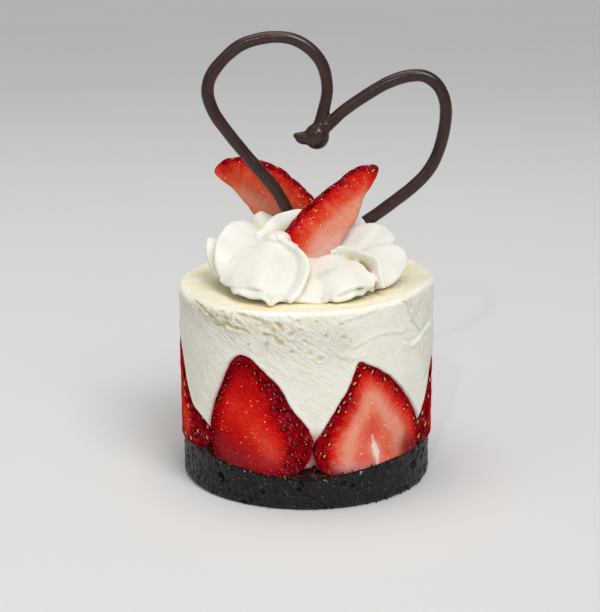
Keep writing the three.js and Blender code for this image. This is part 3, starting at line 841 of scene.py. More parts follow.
SEED_SHADE = 0.85


def base_height(points):
    """Height of the base's upper face under the given points."""
    azimuth = np.degrees(np.arctan2(points[:, 0], -points[:, 1]))
    radius = np.hypot(points[:, 0], points[:, 1])
    slope = np.clip((radius - BISCUIT_FLAT) / (BISCUIT_RADIUS - BISCUIT_EDGE - BISCUIT_FLAT), 0, 1)
    return BISCUIT_TOP + (rim_height(azimuth) - BISCUIT_TOP) * slope


def seed_spots(half, number):
    """Wall lengths from the half's middle and heights of its seeds."""
    if half.spots:
        return half.spots
    rng = np.random.default_rng(100 + number)
    middle = np.array([0.0, FRUIT_MIDDLE])
    spots = []
    spacing = SEED_SPACING * half.seed_size**1.4
    around = int(half.outline.length / spacing)
    for row, inset in enumerate(SEED_ROWS):
        for i in range(around):
            share = (i + 0.5 * (row % 2) + rng.uniform(-0.2, 0.2)) / around % 1
            edge = half.outline.at(np.array([share]))[0]
            seen = half.skin[0] if edge[0] < 0 else half.skin[1]
            depth = inset + rng.uniform(-0.3, 0.3)
            spot = edge + unit(middle - edge) * depth
            alone = all(np.hypot(*(spot - other)) > 0.8 * spacing for other in spots)
            if depth < seen + SEED_PAST_SKIN and alone:
                spots.append(spot)
    return spots


def depth_rings():
    """(depth, scale) of a half's rings: out over the cut face, round the skin and over the back."""
    rings = [(0.0, FACE_MIDDLE + (1 - FACE_MIDDLE) * (k / FACE_RINGS) ** 0.8) for k in range(FACE_RINGS)]
    rings += [(FRUIT_GIRTH * k / SKIN_RINGS, 1.0) for k in range(SKIN_RINGS)]
    for k in range(BACK_RINGS):
        turn = np.pi / 2 * k / BACK_RINGS
        rings.append((FRUIT_GIRTH + (FRUIT_DEPTH - FRUIT_GIRTH) * math.sin(turn), 1.0))
    return rings


def set_seeds(made, points, half, number, x, z, depth):
    """Sinks a dimple round each seed of a half and gives (point, outward normal, way to the tip, size)."""
    normal = normals_of(made)
    apex = polar(half.middle, CAKE_RADIUS, FRUIT_MIDDLE + half.tall)
    hidden = FAR * (depth > FRUIT_GIRTH)
    sink = np.zeros(len(points))
    pit = np.zeros(len(points))
    seeds = []
    for spot in seed_spots(half, number):
        at = int(np.argmin(np.hypot(x - spot[0], z - spot[1]) + hidden))
        place = points[at]
        if place[2] < base_height(place[None])[0] + SEED_CLEAR:
            continue
        away = np.linalg.norm(points - place, axis=1)
        sink = np.maximum(sink, SEED_DIMPLE * bell(away, 0.6 * half.seed_size))
        # painted shade in the dimple round the seed
        pit = np.maximum(pit, SEED_SHADE * bell(away - 0.45 * half.seed_size, 0.28))
        seeds.append((place - normal[at] * SEED_SUNK, normal[at], apex - place, half.seed_size))
    put_points(made, points - normal * sink[:, None])
    give(made.data, pit=pit)
    return seeds


def make_half(half, number, material):
    """Makes a half and gives the places of its seeds."""
    rings = depth_rings()
    depth = np.repeat([d for d, _ in rings], FRUIT_COLUMNS)
    scale = np.repeat([k for _, k in rings], FRUIT_COLUMNS)
    around = np.tile(np.linspace(0, 1, FRUIT_COLUMNS, endpoint=False), len(rings))
    x, z = half.flat(around, depth, scale)
    points = polar(half.middle + np.degrees(x / CAKE_RADIUS), CAKE_RADIUS - depth, z)
    out = unit(points * (1, 1, 0))
    on_face = (depth == 0).astype(float)
    swell = grain(points, FACE_GRAIN, number)
    soft_edge = -FACE_ROUND * smoothstep(0.9, 1.0, scale) * on_face
    points = points + out * ((swell * on_face * smoothstep(1.0, 0.9, scale)) + soft_edge)[:, None]
    points[:, 2] = np.maximum(points[:, 2], base_height(points) - FRUIT_SUNK)
    fields = flesh_fields(half, number, x, z, scale, depth, around)
    fields = {key: np.concatenate([values, values[:1], values[-1:]]) for key, values in fields.items()}
    ends = [polar(half.middle, CAKE_RADIUS - inset, FRUIT_MIDDLE) for inset in (0.0, FRUIT_DEPTH)]
    points = np.concatenate([points, ends])
    made = make_mesh(f"strawberry_{number}", points, capped_faces(len(rings), FRUIT_COLUMNS), **fields)
    outward(made)
    seeds = set_seeds(made, points, half, number, x, z, depth)
    finish_piece(made, material, "strawberry", f"strawberry_half_{number}")
    return seeds


FACE_REACH = 30  # how far a line on a cut face is felt
RIND_NOISE = ((0.6, 3.2, 1, 300), (0.3, 1.2, 1, 310))
CORE_NOISE = ((1.1, 3.4, 1, 333), (0.5, 1.4, 1, 334))
MOST_PALE = 0.95
# on the cut faces of the two front halves: wall lengths from the middle, and heights
RIPE_GLOW = ((-6, 28.6), (-2.5, 26.6), (0.4, 23.4), (3.2, 19.4), (5.4, 14.6))
PALE_ARMS = (
    (-9.6, 13), (-9.2, 17.4), (-8.4, 21), (-6.8, 25), (-4.6, 29.4), (-3.2, 32), (-1.6, 33), (0.4, 31),
    (4.1, 25.6), (7.4, 21.4), (8.6, 18), (8, 15),
)
PALE_TOP = (-1.6, 29.6, 2.6, 2.8)  # place, half width, half height
PALE_CORE = (-1.4, 23.8, 2.2, 2.6)
FLAME = ((-1.8, 21.4), (-1.3, 19.4), (-0.9, 17.8), (-0.4, 16), (0.1, 14.4), (0.1, 11))
DUSK = (12.4, 14.4)


def oval_bell(oval, x, z):
    """1 at the middle of an oval (place, half width, half height), fading outward."""
    cx, cz, wide, high = oval
    return np.exp(-0.5 * (((x - cx) / wide) ** 2 + ((z - cz) / high) ** 2))


def ripe_face(x, z, edge, flat):
    """Red flesh that glows down its middle; gives tone, pale, dusk, white, rays and rind."""
    tone = 0.2 + 0.24 * smoothstep(0.5, 5.5, edge) + 0.36 * bell(from_line(RIPE_GLOW, x, z, FACE_REACH), 4.4)
    pale = 0.1 * bell(from_line(RIPE_GLOW, x, z - 2, FACE_REACH), 2.0) * smoothstep(26, 18, z)
    dusk = 0.6 * smoothstep(22, 12, z + 0.25 * x)
    return tone, pale, dusk, 0 * x, 0.12, smoothstep(2.6, 0.3, edge)


def pale_face(x, z, edge, flat):
    """Flesh with a pale arch, a white flame at its foot and a dusky corner."""
    blur = grain(flat, CORE_NOISE)
    core = oval_bell(PALE_CORE, x + blur, z)
    tone = 0.3 + 0.62 * smoothstep(0.4, 5.5, edge) - 0.06 * core
    arm = from_line(PALE_ARMS, x, z, FACE_REACH) + 0.4 * blur
    pale = 0.8 * bell(arm, 1.75) * smoothstep(2.0, 6.0, edge) + 0.3 * smoothstep(6.5, 9, edge)
    pale = np.maximum(pale, 0.7 * oval_bell(PALE_TOP, x, z))
    pale = pale * (1 - 0.4 * core) + 0.15 * smoothstep(17, 12, z) * smoothstep(2, 5, edge)
    dusk = 0.9 * bell(np.hypot(x - DUSK[0], z - DUSK[1]), 3.6)
    dusk = np.maximum(dusk, 0.5 * smoothstep(15, 11.5, z) * smoothstep(2, -6, x))
    off = from_line(FLAME, x, z, FACE_REACH)
    width = np.maximum(0.1, 0.16 + 0.6 * bell(z - 16.4, 2.0) + 0.24 * noise(flat, 1.0, 335))
    foot = bell(z - 12.4, 1.5) * smoothstep(-15.5, -12, x) * smoothstep(6, 2, x)
    white = 0.9 * smoothstep(2.0 * width, 0.3 * width, off) + 0.34 * bell(off, 1.5) * smoothstep(21, 16, z)
    white = np.clip(np.maximum(white, 0.2 * foot), 0, MOST_PALE)
    return tone, pale, dusk, white, 0.62, 0.6 * smoothstep(2.2, 0.1, edge)


def plain_face(x, z, edge, flat):
    """Red flesh, a little paler inside."""
    tone = 0.24 + 0.62 * smoothstep(0.5, 6.5, edge)
    pale = 0.5 * smoothstep(5.0, 9.0, edge) * smoothstep(36, 28, z)
    return tone, pale, 0.35 * smoothstep(18, 11, z), 0 * x, 0.5, 0.9 * smoothstep(2.0, 0.3, edge)


FACES = {"ripe": ripe_face, "pale": pale_face, "plain": plain_face}


def flesh_fields(half, number, x, z, scale, depth, around):
    """Where the cut face is ripe, pale, dusky or skin, as point values."""
    reach = np.hypot(x, z - FRUIT_MIDDLE)
    inside = reach * (1 / np.maximum(scale, FACE_MIDDLE) - 1)  # distance in from the cut face's edge
    flat = np.stack([x, z, 0 * x], -1)
    edge = inside + grain(flat, RIND_NOISE, number)
    own_z = FRUIT_MIDDLE + (z - FRUIT_MIDDLE) / half.high
    tone, pale, dusk, white, rays, rind = FACES[half.flesh](x * half.turned, own_z, edge, flat)
    turn = 2 * np.pi * around
    girth = half.outline.length / (2 * np.pi)
    skin = np.maximum(smoothstep(0.0, 0.3, depth / FRUIT_GIRTH), 0.85 * rind)
    bare = 1 - skin
    return dict(
        tone=tone,
        skin=skin,
        pale=np.clip(pale, 0, MOST_PALE) * bare,
        dusk=dusk * bare,
        white=white * bare,
        rays=rays * smoothstep(1.0, 3.0, inside) * bare,
        fibre=np.stack([np.cos(turn) * girth, np.sin(turn) * girth, inside * 0.12], -1) * MM,
    )


# ---------------------------------------------------------------- seeds
SEED_LONG = 1.25
SEED_WIDE = 0.72
SEED_THICK = 0.5
SEED_AROUND = 8
SEED_ALONG = 7


def seed_shape():
    """A teardrop, its point at +x, its flat side down."""
    turn = np.linspace(0, 2 * np.pi, SEED_AROUND, endpoint=False)
    rows = []
    for i in range(SEED_ALONG):
        t = i / (SEED_ALONG - 1)
        fat = math.sin(math.pi * min(1, 0.04 + 0.93 * t**0.8)) ** 0.7 * (1 - 0.35 * t)
        x = np.full(SEED_AROUND, (t - 0.45) * SEED_LONG)
        y, z = 0.5 * SEED_WIDE * fat * np.cos(turn), 0.5 * SEED_THICK * fat * np.sin(turn)
        rows.append(np.stack([x, y, z], -1))
    points = np.concatenate(rows)
    quads = grid_faces(SEED_ALONG, SEED_AROUND)
    ends = [np.arange(SEED_AROUND)[::-1][None], (len(points) - SEED_AROUND + np.arange(SEED_AROUND))[None]]
    return points, quads, ends


def make_seeds(name, places, material):
    """One piece of many seeds; places are (point, outward normal, way to the tip, size)."""
    shape, quads, ends = seed_shape()
    points, faces, caps = [], [], []
    for i, (at, out, towards, large) in enumerate(places):
        out = unit(out)
        along = unit(towards - out * float(np.dot(towards, out)))
        side = np.cross(out, along)
        size = large * (0.88 + 0.24 * lattice(np.int64(i), np.int64(3), np.int64(7), 5))
        turned = shape[:, :1] * along + shape[:, 1:2] * side + shape[:, 2:] * out
        points.append(at + size * turned)
        faces.append(quads + i * len(shape))
        caps += [end + i * len(shape) for end in ends]
    made = make_mesh(name, np.concatenate(points), [np.concatenate(faces), np.concatenate(caps)])
    outward(made)
    finish_piece(made, material, "strawberry")


# ---------------------------------------------------------------- mousse
MOUSSE_COLUMNS = 620
MOUSSE_ROWS = 118
MOUSSE_FOOT = 11.5
FOOT_RADII = (1.0, 20.0, 32.0)
TOP_RADII = (27.0, 22.0, 12.0, 1.0)
RIM_ROUND = 1.5
RIM_INSET = 0.75 * RIM_ROUND
RIM_ROWS = 8
RIM_RAGGED = 0.1
LEDGE_RADIUS = 0.78 * CAKE_RADIUS  # where the finely divided part of the top ends
LEDGE_ROWS = 24
SMEAR_AZIMUTH = 63.0
SMEAR_SPREAD = 13.0
SMEAR_HEIGHT = 1.5
TILT_X = 0.022
TILT_Y = 0.034
HOLLOW_RADIUS = 34.6
LIP_ROUND = 0.32  # round edge of the mousse at the fruit
LIP_HEIGHT = 0.22  # how far it stands out there
FRUIT_POCKET = 3.2  # depth of the mousse behind the fruit's faces
SHARP_ANGLE = 52.0
HOLLOW_TOP = 14.5
FULL_HEIGHT = 24.0
FRUIT_CORNERS = 160  # of a half's outline, where the mousse meets it
FRUIT_NEAR = 5.0
SIDE_RADII = (32.5, 34.0)  # the side's relief comes in between them
TOP_EDGE = (36.9, 36.0)
BOUNCE_REACH = 4.0  # painted yellow bounce light in the shade round the cream
BOUNCE_SHARE = 0.6
STAIN_PLACE = 2.2  # wall length of the juice between the two front halves, and its spread
# lines on the side: (wall length, height)
TORN_TOP = ((-48.5, 57.2), (-36.6, 58.4), (-29.5, 57.4), (-22.7, 56.7), (-16.2, 56.1), (-10, 55.8))
TORN_FOOT = (
    (-48.5, 55.4), (-44.3, 55.2), (-35.1, 54.5), (-28.4, 52.9), (-23.5, 51.4), (-17.8, 50.8), (-10, 52.4),
)
FLAP_EDGE = (
    (28, 60), (31.5, 57), (33.9, 51.9), (37.8, 49.0), (39.8, 45.8), (38.7, 41.9), (40.3, 36.1), (42, 30),
)
# ridges pushed up by the knife, each with a hollow under it
CREASES = (
    ((13.2, 47.7), (16.9, 49.4), (21, 50.4), (25.5, 50.5), (31, 49.8)),
    ((10, 55.6), (14.5, 56.6), (19, 57.6)),
    ((9, 45.4), (13, 44.6), (17, 44.8)),
)
FOLD = ((31.6, 47), (33.8, 46), (36.5, 46.6), (41.3, 48.6), (46, 50))
CRACKS = (
    ((-39, 57.6), (-34.6, 56.4), (-30.6, 54.9), (-27, 53.2), (-24.8, 52.2)),
    ((-30.8, 54.6), (-29.6, 53.4), (-27.6, 52.4), (-25.6, 52.2)),
    ((-25, 53.6), (-21.6, 52.6), (-18.2, 52.2), (-16.6, 51.6)),
    ((-20.6, 56.6), (-16, 56.0), (-12.6, 55.2)),
    ((-12.2, 51.6), (-9.6, 51.4), (-8.4, 50.4)),
    ((-9.2, 55.2), (-7.8, 54), (-7.0, 53.2)),
)
# hollows: wall length, height, size
POCKS = (
    (-11.2, 54.0, 1.5), (-9.4, 52.6, 1.2), (-7.8, 54.6, 1.0), (-1.9, 53.3, 0.9), (-4.6, 51.8, 0.9),
    (-7.5, 49.3, 1.0), (-11.6, 48.6, 0.9), (0.8, 46.6, 1.0), (3.8, 45.0, 1.0), (5.4, 51.3, 0.9),
    (-0.6, 50.0, 0.8), (9.4, 54.6, 0.8), (-16.8, 48.0, 0.7), (-4.2, 46.8, 0.8), (10.4, 50.6, 1.0),
    (-2.6, 55.8, 0.8), (2.6, 55.4, 0.8),
)
STREAK_TILT = math.radians(33)  # the streaks of the knife fall to the right
ROUGH_LINE = ((-44, 56), (-30, 53.5), (-18, 51.5), (-8, 51), (0, 50), (8, 49.5))
# depths of the side's relief
SWELL = 0.14
SKIN_GRAIN = 0.06
STREAK_DEPTH = 0.26
STREAK_GRAIN = 0.12
HOLE_DEPTH = 0.4
BAND_RISE = 0.3
SPONGE_DEPTH = 0.55
CRACK_DEPTH = 0.45
POCK_DEPTH = 0.5
POCK_RIM = 0.2
CREASE_RISE = 0.3
CREASE_HOLLOW = 0.2
FOLD_RISE = 0.6
FOLD_HOLLOW = 0.4
FLAP_RISE = 0.3
FLAP_STEP = 0.35
FLAP_LUMPS = 0.55
FLAP_PITS = 0.3


def top_height(x, y):
    return CAKE_HEIGHT + TILT_X * x + TILT_Y * y


def line_at(line, value, axis):
    """The other coordinate of a line of points at a value of one."""
    p = np.array(line)
    order = np.argsort(p[:, axis])
    return np.interp(value, p[order, axis], p[order, 1 - axis])


def from_line(line, s, z, reach=4.0):
    """Distance from a line of points on the wall, counted as large beyond the given reach."""
    p = Curve(line).points
    away = np.full(len(s), FAR)
    low, high = p.min(0) - reach, p.max(0) + reach
    near = np.flatnonzero((s > low[0]) & (s < high[0]) & (z > low[1]) & (z < high[1]))
    for a, b in zip(p[:-1], p[1:]):
        step = b - a
        rel = np.stack([s[near] - a[0], z[near] - a[1]], -1)
        t = np.clip(rel @ step / max(step @ step, 1e-9), 0, 1)
        away[near] = np.minimum(away[near], np.linalg.norm(rel - t[:, None] * step, axis=1))
    return away


def fruit_distance(s, z):
    """Distance from the halves' full outlines, negative inside them."""
    nearest = np.full(len(s), FAR)
    around = 2 * np.pi * CAKE_RADIUS
    for half in HALVES:
        corners = half.outline.at(np.linspace(0, 1, FRUIT_CORNERS))
        x = (s - np.radians(half.middle) * CAKE_RADIUS + around / 2) % around - around / 2
        near = (np.abs(x) < half.half + FRUIT_NEAR) & (z < half.tall + FRUIT_MIDDLE + FRUIT_NEAR)
        near = np.flatnonzero(near)
        away = np.full(len(near), FAR)
        inside = np.zeros(len(near), bool)
        px, pz = x[near], z[near]
        for (x0, z0), (x1, z1) in zip(corners[:-1], corners[1:]):
            dx, dz = x1 - x0, z1 - z0
            t = np.clip(((px - x0) * dx + (pz - z0) * dz) / (dx * dx + dz * dz + 1e-12), 0, 1)
            away = np.minimum(away, np.hypot(px - x0 - t * dx, pz - z0 - t * dz))
            crosses = (z0 > pz) != (z1 > pz)
            inside ^= crosses & (px < x0 + dx * (pz - z0) / (dz if dz else 1e-12))
        nearest[near] = np.minimum(nearest[near], np.where(inside, -away, away))
    return nearest


def streak_places(s, z):
    """Coordinates along and across the streaks of the knife, drawn out along them."""
    along = s * math.cos(STREAK_TILT) - z * math.sin(STREAK_TILT)
    across = s * math.sin(STREAK_TILT) + z * math.cos(STREAK_TILT)
    return np.stack([0.32 * along, across, 0 * s], -1)


def torn_band(points, s, z):
    """Relief of the band that the knife has torn, under the rim on the left, and the share of painted shade
    in its sponge pits.
    """
    band = smoothstep(0.15, -0.2, z - line_at(TORN_TOP, s, 0))
    band *= smoothstep(-0.2, 0.3, z - line_at(TORN_FOOT, s, 0))
    band *= smoothstep(-50, -45, s) * smoothstep(-13, -20, s)
    sponge = smoothstep(0.42, 0.15, cells(points, 1.25, 15))
    return band * (BAND_RISE + 0.3 * layered(points, 1.6, 2, 19) - SPONGE_DEPTH * sponge), 0.7 * band * sponge


def flap(points, s, z):
    """Relief of the lapping edge on the right and of the lumpy skin beyond it, and how torn that skin is."""
    ragged = s - line_at(FLAP_EDGE, z, 1) + 0.5 * noise(points, 1.6, 27)
    high = smoothstep(30, 36, z)
    out = FLAP_RISE * smoothstep(0.15, -0.1, ragged) * smoothstep(-7, 0, ragged) * high
    out -= FLAP_STEP * bell(ragged - 0.35, 0.3) * high
    torn = smoothstep(0.2, 0.8, ragged) * smoothstep(18, 9, ragged) * high
    pits = smoothstep(0.3, 0.1, cells(points, 2.6, 35)) * smoothstep(-0.1, 0.4, noise(points, 4, 37))
    out += torn * (0.2 + FLAP_LUMPS * layered(points, 3.6, 3, 31) - FLAP_PITS * pits)
    return out, torn


def mousse_relief(points, s, z):
    """How far the side stands out, how rough it is and how much painted shade darkens its holes, cracks,
    pocks and sponge pits.
    """
    streaks = streak_places(s, z)
    back = math.pi * CAKE_RADIUS
    rough = bell(from_line(ROUGH_LINE, s, z, 20), 5.2)
    rough = np.maximum(rough, 0.42 * smoothstep(-52, -44, s) * smoothstep(16, 6, s) * smoothstep(22, 42, z))
    rough = np.maximum(rough, 0.3) * smoothstep(back, back - 8, np.abs(s))
    out = SWELL * layered(points, 9, 3, 5) + SKIN_GRAIN * noise(points * (1, 1, 0.4), 1.2, 8)
    out += rough * (STREAK_DEPTH * layered(streaks, 2.2, 3, 9) + STREAK_GRAIN * noise(points, 1.1, 10))
    holes = smoothstep(0.3, 0.1, cells(streaks, 1.7, 11))
    holes *= smoothstep(-0.2, 0.5, noise(points, 5, 13)) * rough
    band, band_pit_shade = torn_band(points, s, z)
    # share of painted shade in the holes, cracks, pocks and sponge pits that the relief sinks
    hollow = np.maximum(0.6 * holes, band_pit_shade)
    out += band - HOLE_DEPTH * holes
    for line in CRACKS:
        crack = smoothstep(0.6, 0.1, from_line(line, s, z) + 0.35 * noise(points, 1.3, 21))
        out -= CRACK_DEPTH * crack
        hollow = np.maximum(hollow, crack)
    for s0, z0, size in POCKS:
        ragged = np.hypot(s - s0, (z - z0) * 1.3) / size + 0.6 * noise(points, 1.2, 23)
        out += POCK_RIM * bell(ragged - 1.5, 0.25) - POCK_DEPTH * smoothstep(1.2, 0.3, ragged)
        hollow = np.maximum(hollow, 0.5 * smoothstep(1.0, 0.3, ragged))
    for line in CREASES:
        under = z < line_at(line, s, 0)
        near = from_line(line, s, z)
        out += CREASE_RISE * bell(near, 0.45) - CREASE_HOLLOW * bell(near - 0.9, 0.5) * under
    fold = from_line(FOLD, s, z)
    out += FOLD_RISE * bell(fold - 0.9, 0.8) * (z < line_at(FOLD, s, 0)) - FOLD_HOLLOW * bell(fold, 0.4)
    lap, torn = flap(points, s, z)
    return out + lap, np.maximum(rough, 0.7 * torn), np.clip(hollow, 0, 1)


def mousse_rows(azimuth):
    """(radius, height) of rings from under the mousse's middle to its top's, and its height at the wall."""
    edge = polar(azimuth, CAKE_RADIUS, 0.0)
    smeared = SMEAR_HEIGHT * bell(azimuth - SMEAR_AZIMUTH, SMEAR_SPREAD)
    top = top_height(edge[:, 0], edge[:, 1]) + smeared
    ragged = RIM_RAGGED * noise(edge, 3, 2)
    rows = [(np.full_like(azimuth, r), np.full_like(azimuth, MOUSSE_FOOT)) for r in FOOT_RADII]
    for k in range(MOUSSE_ROWS):
        t = k / (MOUSSE_ROWS - 1)
        z = MOUSSE_FOOT + (top - RIM_ROUND + ragged - MOUSSE_FOOT) * t
        hollow = smoothstep(FULL_HEIGHT, HOLLOW_TOP, z) ** 0.8
        rows.append((CAKE_RADIUS - (CAKE_RADIUS - HOLLOW_RADIUS) * hollow, z))
    for k in range(1, RIM_ROWS + 1):
        turn = np.pi / 2 * k / RIM_ROWS
        r = CAKE_RADIUS - RIM_INSET * (1 - math.cos(turn))
        rows.append((np.full_like(azimuth, r), top + ragged - RIM_ROUND + RIM_ROUND * math.sin(turn)))
    start = CAKE_RADIUS - RIM_INSET
    inner = polar(azimuth, LEDGE_RADIUS, 0.0)
    inner_top = top_height(inner[:, 0], inner[:, 1])
    for k in range(1, LEDGE_ROWS + 1):
        t = k / LEDGE_ROWS
        r = start + (LEDGE_RADIUS - start) * t
        rows.append((np.full_like(azimuth, r), top + ragged * (1 - t) + (inner_top - top) * t))
    for r in TOP_RADII:
        at = polar(azimuth, r, 0.0)
        rows.append((np.full_like(azimuth, r), top_height(at[:, 0], at[:, 1])))
    return rows, top


def painted_bounce_share(points, on_top, cream):
    """How close the places on the mousse's top are to the cream, from 0 to the full share of painted yellow
    bounce light in the cream's shade.
    """
    low_cream = cream[cream[:, 2] < top_height(cream[:, 0], cream[:, 1]) + 3.5]
    tree = search_tree(low_cream)
    painted_bounce = np.zeros(len(points))
    near = np.flatnonzero(on_top > 0.5)
    away = np.array([tree.find(p)[2] for p in points[near]])
    painted_bounce[near] = BOUNCE_SHARE * smoothstep(BOUNCE_REACH, 0.4, away)
    return painted_bounce


def make_mousse(cream):
    """The mousse, its top painted yellow close to the cream as bounce light in the cream's shade: an array of
    places on the cream's skin.
    """
    azimuth = np.linspace(-180, 180, MOUSSE_COLUMNS, endpoint=False)
    rows, top = mousse_rows(azimuth)
    points = np.concatenate([polar(azimuth, r, z) for r, z in rows])
    s = np.tile(np.radians(azimuth) * CAKE_RADIUS, len(rows))
    z = points[:, 2].copy()
    out = unit(points * (1, 1, 0))
    radius = np.hypot(points[:, 0], points[:, 1])
    side = smoothstep(*SIDE_RADII, radius) * smoothstep(0.5, -1.0, z - np.tile(top, len(rows)) + 0.3)
    relief, rough, hollow = mousse_relief(points, s, z)
    away = fruit_distance(s, z)
    away = away + 0.22 * noise(points, 2.2, 45) * smoothstep(3, 0, np.abs(away))
    relief *= 0.3 + 0.7 * smoothstep(0.3, 2.5, away)
    lip = LIP_HEIGHT * bell(away - 0.6, 0.36)
    drop = LIP_ROUND * (1 - np.sqrt(1 - np.clip(1 - away / LIP_ROUND, 0, 1) ** 2))
    drop += FRUIT_POCKET * smoothstep(0.0, -0.5, away)
    points = points + out * (side * (relief + lip - drop))[:, None]
    on_top = smoothstep(*TOP_EDGE, radius) * (z > 50)
    streak = 0.16 * layered(points * (0.35, 1, 1), 2.2, 3, 49)
    points[:, 2] += on_top * (streak - 0.2 * smoothstep(0.3, 0.1, cells(points, 3.1, 51)))
    stain = bell(s - STAIN_PLACE, STAIN_PLACE) * smoothstep(26, 20, z) * 0.75
    stain = np.maximum(stain, 0.35 * smoothstep(18, 13, z) * side)
    stain = np.maximum(stain, 0.12 * smoothstep(0.9, 0.1, away) * (away > 0))
    fields = {
        "levelled": with_ends(on_top, 0, 1),
        "stain": with_ends(stain),
        # painted shade in the side's holes, cracks, pocks and sponge pits
        "hollow": with_ends(hollow * side * 0.8),
        "rough": with_ends(rough * side),
        # painted yellow bounce light in the shade close to the cream
        "painted_bounce": with_ends(painted_bounce_share(points, on_top, cream)),
        "streak": np.concatenate([streak_places(s, z) * MM, np.zeros((2, 3))]),
    }
    ends = [[0.0, 0.0, MOUSSE_FOOT], [0.0, 0.0, top_height(0, 0)]]
    faces = capped_faces(len(rows), MOUSSE_COLUMNS)
    made = make_mesh("mousse_body", np.concatenate([points, ends]), faces, **fields)
    made.data.set_sharp_from_angle(angle=math.radians(SHARP_ANGLE))
    finish_piece(made, mousse_look(), "mousse", "mousse")


# ---------------------------------------------------------------- whipped cream
CREAM_ROOT = 4.6
CREAM_RIM = 1.35
CREAM_OVERRUN = 0.25
CREAM_VOXEL = 0.4
CREAM_SMOOTH = 2
COMB_SPACING = 0.85  # between two fine ridges of the piping
NO_DENT = (0.5, 0.5, 1.0, 1.0, 0.0)
# mounds under the petals: place, radius, top
CREAM_CORES = (((0, 0), 17, 67.5), ((-1, 9), 13, 72), ((11.5, 4.5), 8.5, 74))
CORE_SUNK = 4.0
CREAM_SUNK = 0.4
CREAM_LUMPY = 0.09
PETAL_WAVE = 0.35
# the painted yellow shade of hollows: its share, how sheltered they are where it comes in, how far that is
# felt
HOLLOW_SHADE_SHARE = 0.9
HOLLOW_SHADE_RANGE = (0.28, 0.85)
HOLLOW_SHADE_REACH = 7.0


class Petal:
    """A sheet of cream from a root to a rim.

    bulge is its sag inward, thick its root, ragged its rim's tears, dent a hollow in it (the share of the
    way from root to rim, the share along them, the spread of both and the depth) and overrun how far it goes
    on behind its root, as a share of its length.
    """

    def __init__(self, rim, root, bulge, thick=CREAM_ROOT, ragged=0.0, dent=NO_DENT, overrun=CREAM_OVERRUN):
        self.rim = Curve(rim)
        self.root = Curve(root)
        self.bulge = bulge
        self.thick = thick
        self.ragged = ragged
        self.dent = dent
        self.overrun = overrun


FRONT_LEFT = Petal(
    [
        (-25.2, -16.5, 62), (-21.1, -22, 61.3), (-16, -26, 62.4), (-11.7, -28, 61.2), (-8.2, -28.8, 59.8),
        (-5.4, -28.6, 58.6),
    ],
    [(-17, -9, 69), (-13.5, -7, 70.4), (-8.5, -7.4, 71), (-2.2, -11.4, 68.8)],
    -1.0,
    dent=(0.25, 0.8, 0.2, 0.14, 1.6),
    overrun=0.1,
)
FRONT_FOLD = Petal(
    [
        (-9.6, -8, 71.3), (-7.2, -9.6, 72.8), (-4.1, -12, 71.9), (-1.6, -14, 71), (0.4, -18.2, 68.9),
        (0.9, -22.4, 66.4), (-0.2, -26.4, 63.6), (-2.3, -29, 60.9), (-4.7, -30, 58.8),
    ],
    [
        (-8.5, -7.5, 69.4), (-5.2, -9.5, 69), (-2.9, -12.5, 67.6), (-2.4, -17, 65.4), (-3.3, -22, 62.6),
        (-4.6, -26, 60.2), (-5.6, -27.6, 58.8),
    ],
    0.5,
    2.0,
)
FRONT_RIGHT = Petal(
    [
        (-4.6, -28.0, 58.6), (0.2, -29.5, 58.8), (5, -29.5, 59), (8.5, -29.2, 60.6), (12, -28.4, 62.3),
        (15.6, -26.6, 63.2), (18.9, -23.8, 62.2), (19.4, -21.8, 63.1), (18.5, -19.8, 64.6), (16.8, -17.8, 66),
        (14.4, -15, 67.1),
    ],
    [(0, -15, 64.4), (3.5, -11.6, 66), (7.1, -10.5, 67), (9.7, -10.5, 66), (11, -11, 65.4)],
    -0.8,
    2.8,
    overrun=0.06,
)
RIGHT_FOLD = Petal(
    [
        (7.5, -9.5, 68.8), (8.8, -10, 71), (12.5, -11.6, 70.7), (17.1, -14.6, 70.3), (20.2, -18.4, 68.8),
        (21.5, -21, 66.1), (22, -23, 61.6),
    ],
    [
        (8.6, -5, 66.5), (11.8, -5.6, 64.6), (14.7, -6.6, 63.4), (17.6, -9.6, 61.8), (19.4, -13.6, 60.6),
        (20.2, -17, 59.8),
    ],
    1.2,
    2.6,
)
RIGHT_LOBE = Petal(
    [
        (20.5, -4, 69), (25, -3, 69.4), (28.3, -4, 68.8), (29.6, -6.5, 66.5), (28.6, -9.5, 63.8),
        (26, -14, 61.6), (21.5, -18.5, 60.5),
    ],
    [(13, -3, 67), (14.5, -8, 66), (15, -12, 63)],
    0.8,
)
RIGHT_UPPER = Petal(
    [
        (11.5, -2, 72), (13.8, -1, 74.6), (17.5, 0, 75.7), (21.5, 0, 75.4), (24.8, 0, 73.6), (26.3, -1, 71),
        (24.8, -2, 68.6),
    ],
    [(9, -5, 67), (13, -6, 66.5), (17, -5, 65.5)],
    0.8,
)
BACK_PEAK = Petal(
    [(9, 1, 70), (12, 1, 74.5), (15.6, 1, 77.6), (18, 1.2, 75.4), (22, 2, 72)],
    [(7, 2, 66), (12, 3, 66), (17, 3, 65)],
    0.4,
)
LEFT_LOBE = Petal(
    [
        (-25, -16, 63), (-26.6, -14.5, 67), (-26.7, -11, 70.8), (-25.3, -7, 74), (-22.8, -3, 76.2),
        (-19, -0.6, 76.9), (-16.4, 0.6, 75.6), (-15.2, 1, 72.5),
    ],
    [(-15.5, -10, 64.5), (-14, -6, 66.5), (-12.5, -2, 68)],
    0.9,
)
LEFT_SLIVER = Petal(
    [(-26, 3, 70.8), (-29.4, 0, 71.2), (-29.6, -4, 68), (-28.6, -8, 64.6), (-26, -12, 62)],
    [(-17, 2, 66), (-17, -3, 65), (-17, -7, 63)],
    0.6,
)
